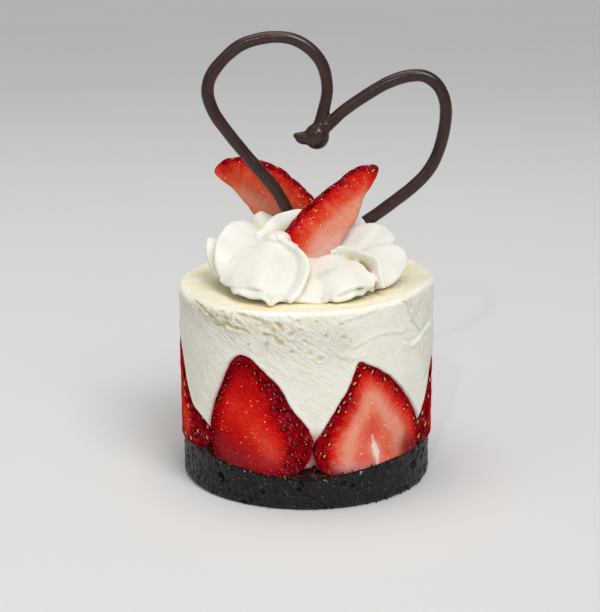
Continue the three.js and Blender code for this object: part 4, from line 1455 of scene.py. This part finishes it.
BACK_CURL = Petal(
    [(-17, 5, 74), (-16, 5.5, 76.8), (-13.8, 6.5, 78.2), (-11, 7.5, 77), (-8, 8, 74)],
    [(-12, 3, 67), (-9, 4, 67), (-6, 5, 67)],
    0.4,
)
TOP_CURL = Petal(
    [
        (-15.6, -4.6, 71.4), (-15.3, -3.6, 73.2), (-13.7, -2.2, 74.8), (-10.8, -0.8, 77.2),
        (-8.2, -0.2, 78.8), (-5, -0.2, 79.8), (-1.6, -1, 80), (2, -3, 78),
    ],
    [(-12.5, -1, 68.5), (-9, 1, 70.5), (-4.5, 2, 71.5), (1, 1, 71)],
    1.8,
    3.6,
)
# torn layers that show under the two front petals
UNDER_LEFT = Petal(
    [
        (-21.8, -21.8, 61.2), (-20.6, -25.1, 60.7), (-17.7, -27.8, 60.5), (-14.3, -30.1, 60.4),
        (-11.5, -31.7, 59.9), (-9.9, -32.2, 58.9), (-8.8, -30.8, 59.8), (-6.7, -29.6, 59.5),
    ],
    [(-17.5, -17, 62.4), (-13, -20, 62.8), (-9.5, -22, 62), (-7, -24, 61)],
    0.4,
    1.35,
    0.2,
)
UNDER_RIGHT = Petal(
    [
        (4.6, -29.2, 59.4), (8.6, -30.2, 59.6), (12, -29.6, 60.2), (14.4, -27.8, 60.8), (17.2, -25, 61.2),
        (19, -22.6, 61),
    ],
    [(3, -21, 63), (8, -21, 64.4), (12, -20, 64.4), (15, -18, 64)],
    0.8,
    1.7,
    0.45,
)
# every petal with the degrees it is turned round the axis; the back of the ruffle repeats the front
PETALS = [
    (petal, 0)
    for petal in (
        FRONT_LEFT, FRONT_FOLD, FRONT_RIGHT, RIGHT_FOLD, RIGHT_LOBE, RIGHT_UPPER,
        BACK_PEAK, LEFT_LOBE, LEFT_SLIVER, BACK_CURL, TOP_CURL, UNDER_LEFT, UNDER_RIGHT,
    )
] + [
    (FRONT_RIGHT, 98), (RIGHT_FOLD, 98), (FRONT_RIGHT, 150), (RIGHT_FOLD, 150),
    (FRONT_LEFT, -98), (FRONT_FOLD, -98), (RIGHT_UPPER, 68), (RIGHT_UPPER, 128),
]
PETAL_ALONG = 30
PETAL_ACROSS = 120
# small lumps of cream: middle, half widths
CREAM_LUMPS = (
    ((-8.6, -7.4, 72.6), (4.0, 3.6, 2.4)),
    ((13.5, -9.6, 63.4), (4.6, 4.6, 3.2)),
    ((-8.6, -3, 67.5), (8, 5.5, 4.6)),
    ((7.4, -10.8, 69.4), (0.8, 0.8, 0.7)),
    ((-5.6, 9.8, 67.4), (7.2, 5.4, 4.2)),  # round the foot of the back wedge
)


def turn_about_axis(points, degrees):
    a = math.radians(degrees)
    x, y = points[..., 0], points[..., 1]
    turned = points.copy()
    turned[..., 0] = x * math.cos(a) - y * math.sin(a)
    turned[..., 1] = x * math.sin(a) + y * math.cos(a)
    return turned


def petal_sheet(petal, number):
    """The two faces of a petal: arrays [across, along, 3], and the comb coordinate of each place."""
    rim, root = petal.rim, petal.root
    v = np.linspace(0, 1, PETAL_ACROSS)
    u = np.linspace(-petal.overrun, 1, PETAL_ALONG)
    start, end = root.at(v)[:, None], rim.at(v)[:, None]
    along = end - start
    across = (unit(rim.direction(v)) + unit(root.direction(v)))[:, None]
    out = unit(np.cross(along, across))
    raised = np.clip(u, 0, 1)[None, :, None]
    dent_u, dent_v, spread_u, spread_v, depth = petal.dent
    swell = petal.bulge * np.sin(np.pi * raised)
    swell = swell + depth * bell(raised - dent_u, spread_u) * bell(v - dent_v, spread_v)[:, None, None]
    wave = PETAL_WAVE * np.sin(2 * np.pi * (v * 2.6 + 0.37 * number))[:, None, None] * raised**2
    tear = np.stack([v * rim.length, 0 * v, 0 * v], -1)
    tear = petal.ragged * (noise(tear, 1.6, 401 + number) + 0.6 * noise(tear, 0.7, 411 + number))
    middle = start + along * u[None, :, None] - out * (swell + wave)
    middle = middle + unit(along) * tear[:, None, None] * raised**3
    du = np.gradient(middle, axis=1)
    dv = np.gradient(middle, axis=0)
    normal = unit(np.cross(dv, du))
    thick = CREAM_RIM + (petal.thick - CREAM_RIM) * (1 - u)
    thick = thick * (1 - 0.3 * smoothstep(0.9, 1.0, u))
    offset = normal * thick[None, :, None] / 2
    width = 0.5 * (rim.length + root.length)
    comb = np.broadcast_to((v * width / COMB_SPACING)[:, None], middle.shape[:2])
    return middle - offset, middle + offset, comb


def petal_body(petal, degrees, number):
    """A petal as a closed body of points and faces, with the comb coordinate of each point."""
    below, above, comb = petal_sheet(petal, number)
    loops = np.concatenate([below, above[:, ::-1]], axis=1)
    combs = np.concatenate([comb, comb[:, ::-1]], axis=1)
    count = loops.shape[1]
    points = turn_about_axis(loops.reshape(-1, 3), degrees)
    faces = grid_faces(PETAL_ACROSS, count)
    caps = []
    half = count // 2
    for row in (0, PETAL_ACROSS - 1):
        first = row * count
        for j in range(half - 1):
            quad = [first + j, first + j + 1, first + count - 2 - j, first + count - 1 - j]
            caps.append(quad if row else quad[::-1])
    return points, np.concatenate([faces, np.array(caps)]), combs.reshape(-1)


def ball(middle, reach, rings=24, columns=40):
    """A closed rounded body about a middle, with a half width for each axis."""
    tilt = np.linspace(0.03, np.pi - 0.03, rings)
    around = np.linspace(0, 2 * np.pi, columns, endpoint=False)
    shell = np.stack(
        [
            np.outer(np.sin(tilt), np.cos(around)),
            np.outer(np.sin(tilt), np.sin(around)),
            np.broadcast_to(-np.cos(tilt)[:, None], (rings, columns)),
        ],
        -1,
    ).reshape(-1, 3)
    caps = [np.arange(columns)[::-1][None], (np.arange(columns) + (rings - 1) * columns)[None]]
    return np.array(middle) + shell * reach, grid_faces(rings, columns), caps


def dome(at, radius, top):
    """A mound of cream, its foot sunk in the mousse."""
    half = (top - CAKE_HEIGHT + CORE_SUNK) / 2
    return ball((at[0], at[1], top - half), (radius, radius, half))


def joined(bodies):
    """The points and faces of several closed bodies as one list."""
    points, faces = [], []
    count = 0
    for body, quads, caps in bodies:
        points.append(body)
        faces += [quads + count] + [cap + count for cap in caps]
        count += len(body)
    return np.concatenate(points), faces


def make_cream():
    """Makes the rosette and gives the places on its skin."""
    petals = [petal_body(petal, degrees, i) for i, (petal, degrees) in enumerate(PETALS)]
    comb_points = np.concatenate([body for body, _, _ in petals])
    combs = np.concatenate([comb for _, _, comb in petals])
    bodies = [(body, faces, []) for body, faces, _ in petals]
    bodies += [dome(*core) for core in CREAM_CORES] + [ball(*lump) for lump in CREAM_LUMPS]
    made = make_mesh("rosette", *joined(bodies))
    outward(made)
    remesh(made, CREAM_VOXEL, CREAM_SMOOTH)
    skin = points_of(made)
    normal = normals_of(made)
    tree = search_tree(comb_points)
    comb = combs[[tree.find(p)[1] for p in skin]]
    skin = skin + normal * (CREAM_LUMPY * layered(skin, 4.5, 3, 71))[:, None]
    skin[:, 2] = np.maximum(skin[:, 2], top_height(skin[:, 0], skin[:, 1]) - CREAM_SUNK)
    put_points(made, skin)
    # painted yellow shade where the rosette shelters its own hollows
    deep = HOLLOW_SHADE_SHARE * smoothstep(*HOLLOW_SHADE_RANGE, sheltered(made, HOLLOW_SHADE_REACH))
    give(made.data, comb=comb, deep=deep)
    finish_piece(made, cream_look(), "cream", "cream_rosette")
    return skin


# ---------------------------------------------------------------- strawberry wedges
WEDGE_FRONT = dict(
    outline=[
        (20.4, 93.4), (14.4, 93.2), (9.2, 89.6), (1.4, 83.4), (-4.6, 77.2), (-7, 72.6), (-3.6, 66),
        (1.6, 63.6), (8, 66.6), (11.2, 73), (14.6, 78.4), (16.6, 84.6), (19.6, 89.4),
    ],
    middle=-5.6,
    turned=(7.0, -0.18),  # it stands a little askew: x of its middle line, drift in y for each millimetre
    thick=5.4,
    skin=[(20.4, 93.4), (14.4, 93.2), (9.2, 89.6), (1.4, 83.4), (-4.6, 77.2), (-7, 72.6)],
    reach=13.0,  # across the flesh from the skin
    pale=(0.42, 0.68),
    bright=0.62,
    seeds=((11.2, 88.0), (2.8, 81.0), (19.0, 92.6)),
)
WEDGE_BACK = dict(
    outline=[
        (2.6, 80.6), (-1, 85), (-7, 90.4), (-13, 93.2), (-20, 94.6), (-25.4, 93.6), (-28, 90.4), (-23, 85.6),
        (-18, 80), (-14, 74), (-8, 68.6), (-1, 70),
    ],
    middle=9.0,
    turned=(-4.0, -0.2),
    thick=5.0,
    skin=[(4, 78), (-1, 85), (-7, 90.4), (-13, 93.2), (-20, 94.6), (-26, 94)],
    reach=15.0,
    pale=(0.38, 0.85),
    bright=0.76,
    seeds=((-13.6, 92.0), (1.6, 82.0)),
)
WEDGE_BEVEL = 1.7
WEDGE_COLUMNS = 300
WEDGE_FACE_RINGS = 26
WEDGE_EDGE_RINGS = 14
WEDGE_SEED_SPACING = 5.2
WEDGE_SINK = 0.25  # fall for each millimetre back
WEDGE_GRAIN = ((0.22, 4, 3, 0), (0.12, 1.2, 1, 3))
WEDGE_DIMPLE = 0.4
WEDGE_SEED_LIFT = 0.14


def wedge_rings(thick):
    """(scale, inset, y) of a wedge's rings from the middle of its front face to that of its back."""
    half = thick / 2
    scales = [FACE_MIDDLE + (1 - FACE_MIDDLE) * k / WEDGE_FACE_RINGS for k in range(WEDGE_FACE_RINGS)]
    rings = [(scale, WEDGE_BEVEL, -half) for scale in scales]
    for k in range(WEDGE_EDGE_RINGS + 1):
        turn = math.pi * k / WEDGE_EDGE_RINGS
        inset = WEDGE_BEVEL * (1 - math.sin(turn) ** 0.6)
        y = -half * math.cos(turn) if 0 < k < WEDGE_EDGE_RINGS else (-half if k == 0 else half)
        rings.append((1.0, inset, y))
    return rings + [(scale, WEDGE_BEVEL, half) for scale in reversed(scales)]


def to_line(line, x, z):
    """Distance of places from a line, and the length along it of the nearest point."""
    curve = Curve(line)
    best = np.full(len(x), FAR)
    length = np.zeros(len(x))
    for i in range(0, len(curve.points) - 4, 4):
        a, b = curve.points[i], curve.points[i + 4]
        step = b - a
        rel = np.stack([x - a[0], z - a[1]], -1)
        t = np.clip(rel @ step / max(step @ step, 1e-9), 0, 1)
        away = np.linalg.norm(rel - t[:, None] * step, axis=1)
        closer = away < best
        best = np.where(closer, away, best)
        length = np.where(closer, curve.lengths[i] + t * np.linalg.norm(step), length)
    return best, length


def askew(points, wedge):
    """A wedge's points once it stands askew; what goes back goes down as well."""
    pivot, drift = wedge["turned"]
    back = drift * (points[:, 0] - pivot)
    return points + np.stack([0 * back, back, -WEDGE_SINK * back], -1)


def wedge_body(name, wedge):
    """A wedge before it is turned askew, as an upright slice with round edges, and its points."""
    around = Curve(wedge["outline"], closed=True).at(np.linspace(0, 1, WEDGE_COLUMNS, endpoint=False))
    centre = around.mean(0)
    tangent = unit(np.roll(around, -1, 0) - np.roll(around, 1, 0))
    inward = np.stack([tangent[:, 1], -tangent[:, 0]], -1)
    if np.sum((centre - around) * inward) < 0:
        inward = -inward
    rows = []
    for scale, inset, y in wedge_rings(wedge["thick"]):
        flat = centre + (around + inward * inset - centre) * scale
        rows.append(np.stack([flat[:, 0], np.full(WEDGE_COLUMNS, wedge["middle"] + y), flat[:, 1]], -1))
    ends = [[centre[0], wedge["middle"] + side * wedge["thick"] / 2, centre[1]] for side in (-1, 1)]
    points = np.concatenate(rows + [ends])
    made = make_mesh(name, points, capped_faces(len(rows), WEDGE_COLUMNS))
    outward(made)
    return made, points


def wedge_seeds(wedge, number, points):
    """The points of a wedge that bear a seed: those seen in front, and others strewn along its skin."""
    line = Curve(wedge["skin"])
    rng = np.random.default_rng(number)
    spots = [(x, wedge["middle"] - wedge["thick"] / 2, z) for x, z in wedge["seeds"]]
    for k in range(int(line.length / WEDGE_SEED_SPACING)):
        share = (k + rng.uniform(0.2, 0.8)) * WEDGE_SEED_SPACING / line.length
        x, z = line.at(np.array([share]))[0]
        spots.append((x, wedge["middle"] + rng.uniform(-0.2, 0.36) * wedge["thick"], z))
    return [int(np.argmin(np.linalg.norm(points - spot, axis=1))) for spot in spots]


def make_wedge(name, node, wedge, number, material):
    """Makes a wedge and gives the places of its seeds."""
    made, points = wedge_body(name, wedge)
    normal = normals_of(made)
    depth, length = to_line(wedge["skin"], points[:, 0], points[:, 2])
    ragged = 0.5 * noise(points, 2.5, number)
    skin = smoothstep(1.5, 0.8, depth + ragged)
    relief = grain(points, WEDGE_GRAIN, number)
    places = wedge_seeds(wedge, number, points)
    pit = np.zeros(len(points))
    for at in places:
        away = np.linalg.norm(points - points[at], axis=1)
        relief -= WEDGE_DIMPLE * bell(away, 0.7)
        # painted shade in the dimple round each seed
        pit = np.maximum(pit, 0.6 * bell(away - 0.55, 0.3))
    moved = askew(points + normal * relief[:, None], wedge)
    put_points(made, moved)
    share = (depth + ragged) / wedge["reach"]
    pale = smoothstep(*wedge["pale"], share) * 0.9
    pale *= 1 - 0.7 * smoothstep(0.8, 1.05, share) * smoothstep(72, 82, points[:, 2])
    give(
        made.data,
        tone=wedge["bright"] + 0.42 * smoothstep(0.0, 0.6, share),
        skin=skin,
        pale=pale * (1 - skin),
        dusk=0 * depth,
        white=0.6 * smoothstep(0.5, 1.0, share) * smoothstep(80, 66, points[:, 2]),
        rays=smoothstep(0.1, 0.3, share) * smoothstep(1.1, 0.5, share) * 1.3,
        fibre=np.stack([0.26 * length, 0.04 * depth, 0 * depth], -1) * MM,
        pit=pit * skin,
    )
    finish_piece(made, material, "strawberry", node)
    (x0, z0), (x1, z1) = wedge["skin"][0], wedge["skin"][-1]
    towards = np.array([x0 - x1, 0, z0 - z1])
    return [(moved[at] + normal[at] * WEDGE_SEED_LIFT, normal[at], towards, 1.0) for at in places]


# ---------------------------------------------------------------- chocolate heart
HEART_PLANE = 3.0
STROKE_WIDTH = 3.7
STROKE_SIDES = 20
STROKE_SPACING = 0.6
HEART_VOXEL = 0.32
HEART_SMOOTH = 8
HEART_LEFT = [
    (-2, 70), (-5.2, 78.2), (-9.1, 85.3), (-13.2, 90.3), (-18.1, 96.1), (-23.1, 102.3), (-27.2, 108.3),
    (-28.9, 114.1), (-27.6, 119.2), (-20.2, 126.9), (-14.4, 129.2), (-8.3, 129.9), (-3.2, 129), (1.5, 126),
    (4.7, 121.6), (6, 115), (4.9, 108.6), (3.2, 103),
]
HEART_RIGHT = [
    (3.2, 101.5), (7.6, 105.7), (10.6, 108.5), (18.8, 114.1), (24.3, 117.1), (30, 118.8), (34.6, 118.6),
    (38.2, 116), (40.4, 111.4), (40.6, 105), (38.5, 95.9), (35.5, 90.4), (31.1, 85.9), (25.4, 81.4),
    (19.2, 76.8), (12.6, 72.6), (5, 69.5),
]
# the blob where the two strokes meet: middle, half widths
KNOB = (
    ((3.0, HEART_PLANE, 101.2), (3.7, 3.0, 3.9)),
    ((-0.4, HEART_PLANE, 100.7), (3.0, 2.0, 2.0)),
    ((-2.4, HEART_PLANE, 101.4), (1.7, 1.2, 1.0)),
    ((4.2, HEART_PLANE, 104), (2.3, 2.2, 2.6)),
)


def stroke(places, seed):
    """A piped stroke along its line, a little uneven in width."""
    path = Curve([(x, HEART_PLANE, z) for x, z in places])
    count = int(path.length / STROKE_SPACING)
    share = np.linspace(0, 1, count)
    at = path.at(share)
    out = np.array([0.0, 1.0, 0.0])
    side = unit(np.cross(path.direction(share), out))
    reach = STROKE_WIDTH / 2 * (1 + 0.05 * noise(at, 9, seed) + 0.03 * noise(at, 3, seed + 1))
    turn = np.linspace(0, 2 * np.pi, STROKE_SIDES, endpoint=False)
    ring = np.cos(turn)[None, :, None] * side[:, None] + np.sin(turn)[None, :, None] * out
    points = (at[:, None] + ring * reach[:, None, None]).reshape(-1, 3)
    first = np.arange(STROKE_SIDES)
    caps = [first[::-1][None], (first + (count - 1) * STROKE_SIDES)[None]]
    return points, grid_faces(count, STROKE_SIDES), caps


def make_heart():
    bodies = [stroke(HEART_LEFT, 81), stroke(HEART_RIGHT, 91)] + [ball(*blob) for blob in KNOB]
    made = make_mesh("heart", *joined(bodies))
    outward(made)
    remesh(made, HEART_VOXEL, HEART_SMOOTH)
    finish_piece(made, chocolate_look(), "chocolate", "chocolate_heart")


# ---------------------------------------------------------------- glaze and crumbs
# pools on the base: wall length, depth behind the wall, height, half widths along, in depth and up
GLAZE_POOLS = (
    (-3.2, 1.4, 10.1, 3.4, 1.5, 1.1), (0.6, 1.3, 10.0, 3.6, 1.6, 1.2), (4.2, 1.4, 10.2, 3.6, 1.5, 1.1),
    (7.2, 1.6, 10.7, 2.6, 1.3, 0.8), (1.2, 2.6, 11.0, 3.0, 2.0, 1.1), (2.2, 2.2, 11.8, 1.0, 1.6, 1.3),
    (-5.4, 1.1, 10.4, 2.2, 0.9, 0.6), (-36, 2.2, 13.6, 2.6, 1.5, 2.4), (-33.6, 1.9, 12.9, 2.2, 1.5, 1.9),
    (-31.4, 1.6, 12.3, 2.0, 1.2, 1.0),
)
GLAZE_VOXEL = 0.25
GLAZE_SMOOTH = 6
GLAZE_LUMPY = 0.12
CRUMB_LIFT = (-0.35, 0.4)  # round the height of the base's upper edge
CRUMB_INSET = (0.0, 1.6)


def make_glaze():
    bodies = []
    for s, depth, z, along, deep, high in GLAZE_POOLS:
        shell, quads, caps = ball((0, 0, z), (along, deep, high))
        place = wall(s + shell[:, 0], shell[:, 2], depth + shell[:, 1])
        bodies.append((place, quads, caps))
    made = make_mesh("glaze", *joined(bodies))
    outward(made)
    remesh(made, GLAZE_VOXEL, GLAZE_SMOOTH)
    shell = points_of(made)
    shell = shell + normals_of(made) * (GLAZE_LUMPY * layered(shell, 2.2, 3, 501))[:, None]
    put_points(made, shell)
    finish_piece(made, glaze_look(), "chocolate")


def sprinkle(rng, count, low, high, height, depth, size):
    """Places along the wall: (wall length, height, depth, size), each drawn evenly from its range."""
    spans = ((low, high), height, depth, size)
    return [tuple(rng.uniform(*span) for span in spans) for _ in range(count)]


def rim_crumbs(rng, count, low, high, size):
    """Places along the base's upper edge."""
    places = []
    for s, lift, depth, wide in sprinkle(rng, count, low, high, CRUMB_LIFT, CRUMB_INSET, size):
        here = wall(np.array([s]), 0.0, depth)
        places.append((s, base_height(here)[0] + lift, depth, wide))
    return places


def make_crumbs(name, seed, layers, shades, roughness):
    """One piece of many crumbs; layers are functions that give the places of some of them."""
    rng = np.random.default_rng(seed)
    work = bmesh.new()
    bmesh.ops.create_icosphere(work, subdivisions=2, radius=1.0)
    shape = np.array([v.co[:] for v in work.verts])
    triangles = np.array([[v.index for v in f.verts] for f in work.faces])
    work.free()
    points, faces = [], []
    for i, (s, z, depth, size) in enumerate(place for layer in layers for place in layer(rng)):
        lumps = 1 + 0.35 * noise(shape + 7.3 * i, 0.9, seed) + 0.15 * noise(shape + 3.1 * i, 0.4, seed)
        squash = rng.uniform(0.65, 1.2, 3)
        points.append(wall(s, z, depth) + shape * lumps[:, None] * squash * size / 2)
        faces.append(triangles + i * len(shape))
    made = make_mesh(name, np.concatenate(points), faces)
    finish_piece(made, crumb_look(name, shades, roughness), "biscuit")


WHOLE = math.pi * CAKE_RADIUS
# name, seed, layers of crumbs, colours, roughness
CRUMB_KINDS = (
    (
        "crumbs_dark",
        601,
        (
            lambda rng: rim_crumbs(rng, 200, -40, 48, (0.35, 0.75)),
            lambda rng: rim_crumbs(rng, 80, -6, 26, (0.4, 0.9)),
            lambda rng: rim_crumbs(rng, 220, -WHOLE, WHOLE, (0.3, 0.6)),
            lambda rng: sprinkle(rng, 46, 13.5, 24, (11.2, 12.6), (0.2, 1.4), (0.5, 0.95)),
            lambda rng: sprinkle(rng, 24, 19, 23, (12.4, 13.3), (0.4, 1.2), (0.45, 0.8)),
            lambda rng: sprinkle(rng, 120, -WHOLE, WHOLE, (0.1, 0.6), (0.9, 1.7), (0.3, 0.6)),
        ),
        CRUMB_DARK,
        0.14,
    ),
    (
        "crumbs_brown",
        617,
        (
            lambda rng: rim_crumbs(rng, 30, -26, -6, (0.35, 0.7)),
            lambda rng: rim_crumbs(rng, 30, -WHOLE, WHOLE, (0.3, 0.5)),
            lambda rng: sprinkle(rng, 30, -WHOLE, WHOLE, (0.1, 0.6), (0.8, 1.5), (0.3, 0.6)),
        ),
        CRUMB_BROWN,
        0.35,
    ),
    (
        "crumbs_orange",
        631,
        (lambda rng: sprinkle(rng, 90, -WHOLE, WHOLE, (1.5, 9.5), (0.62, 0.82), (0.25, 0.5)),),
        CRUMB_ORANGE,
        0.5,
    ),
)


# ---------------------------------------------------------------- stage and light
FLOOR_FLAT = 5.0  # metres; beyond it the floor rises gently, so that no edge is seen
FLOOR_END = 9.0
FLOOR_RISE = 1.3
FLOOR_CORE = 0.01
FLOOR_GAP = 0.05  # millimetres under the cake
FLOOR_RINGS = 24
FLOOR_COLUMNS = 96
WORLD_LIGHT = 0.22
LAMP_AIM = (0, 0, 0.06)
KEY_STRENGTH = 1.74
KEY_ANGLE = 0.5  # how large the soft key light looks, in radians
KEY_PLACE = (0.36, -0.7, 0.92)
# name, place and size in metres, power in watts, colour
LAMPS = (
    ("fill", (-0.75, -0.5, 0.7), 0.7, 1.0, (1.0, 0.88, 0.66)),
    ("above", (-0.1, 0.0, 1.1), 0.8, 4.2, (1.0, 0.99, 0.97)),
    ("sparkle", (-0.12, -0.75, 0.5), 0.02, 0.9, (1.0, 1.0, 1.0)),
)


def make_floor():
    around = np.linspace(-180, 180, FLOOR_COLUMNS, endpoint=False)
    rings = []
    for radius in np.concatenate([[FLOOR_CORE], np.linspace(FLOOR_FLAT, FLOOR_END, FLOOR_RINGS)]):
        share = max(0.0, radius - FLOOR_FLAT) / (FLOOR_END - FLOOR_FLAT)
        rings.append(polar(around, radius / MM, FLOOR_RISE / MM * share**2 - FLOOR_GAP))
    middle = np.arange(FLOOR_COLUMNS)[None]
    faces = [grid_faces(len(rings), FLOOR_COLUMNS), middle]
    made = make_mesh("floor", np.concatenate(rings), faces)
    look = Look("floor")
    look.surface(Base_Color=look.clouds(600, 2, *FLOOR_GREY), Roughness=0.9, Specular_IOR_Level=0.2)
    made.data.materials.append(look.material)


def put_lamp(data, place):
    """A lamp that looks at the middle of the cake."""
    lamp = bpy.data.objects.new(data.name, data)
    lamp.location = place
    way = np.array(LAMP_AIM, float) - np.array(place, float)
    tip = math.acos(-way[2] / np.linalg.norm(way))
    lamp.rotation_euler = (tip, 0, math.atan2(way[1], way[0]) - math.pi / 2)
    bpy.context.scene.collection.objects.link(lamp)


def area_light(name, place, size, power, tint):
    data = bpy.data.lights.new(name, "AREA")
    data.shape = "DISK"
    data.size = size
    data.energy = power
    data.color = tint
    put_lamp(data, place)


def make_light():
    world = bpy.data.worlds.new("soft_light")
    world.use_nodes = True
    background = world.node_tree.nodes["Background"]
    background.inputs["Color"].default_value = (1.0, 1.0, 1.0, 1.0)
    background.inputs["Strength"].default_value = WORLD_LIGHT
    bpy.context.scene.world = world
    for lamp in LAMPS:
        area_light(*lamp)
    key = bpy.data.lights.new("key", "SUN")
    key.energy = KEY_STRENGTH
    key.angle = KEY_ANGLE
    put_lamp(key, KEY_PLACE)
    bpy.context.scene.view_settings.view_transform = "Standard"


# ---------------------------------------------------------------- the cake put together
make_camera()
make_light()
make_floor()
make_biscuit()
make_mousse(make_cream())

flesh = fruit_look()
seeds = {"brown": [], "yellow": []}
for index, half in enumerate(HALVES, start=1):
    seeds[half.seeds] += make_half(half, index, flesh)
seeds["yellow"] += make_wedge("wedge_front", "strawberry_wedge_front", WEDGE_FRONT, 211, flesh)
seeds["yellow"] += make_wedge("wedge_back", "strawberry_wedge_back", WEDGE_BACK, 231, flesh)
make_seeds("seeds_brown", seeds["brown"], seed_look("seed_brown", SEED_BROWN))
make_seeds("seeds_yellow", seeds["yellow"], seed_look("seed_yellow", SEED_YELLOW))
make_heart()
make_glaze()
for kind in CRUMB_KINDS:
    make_crumbs(*kind)
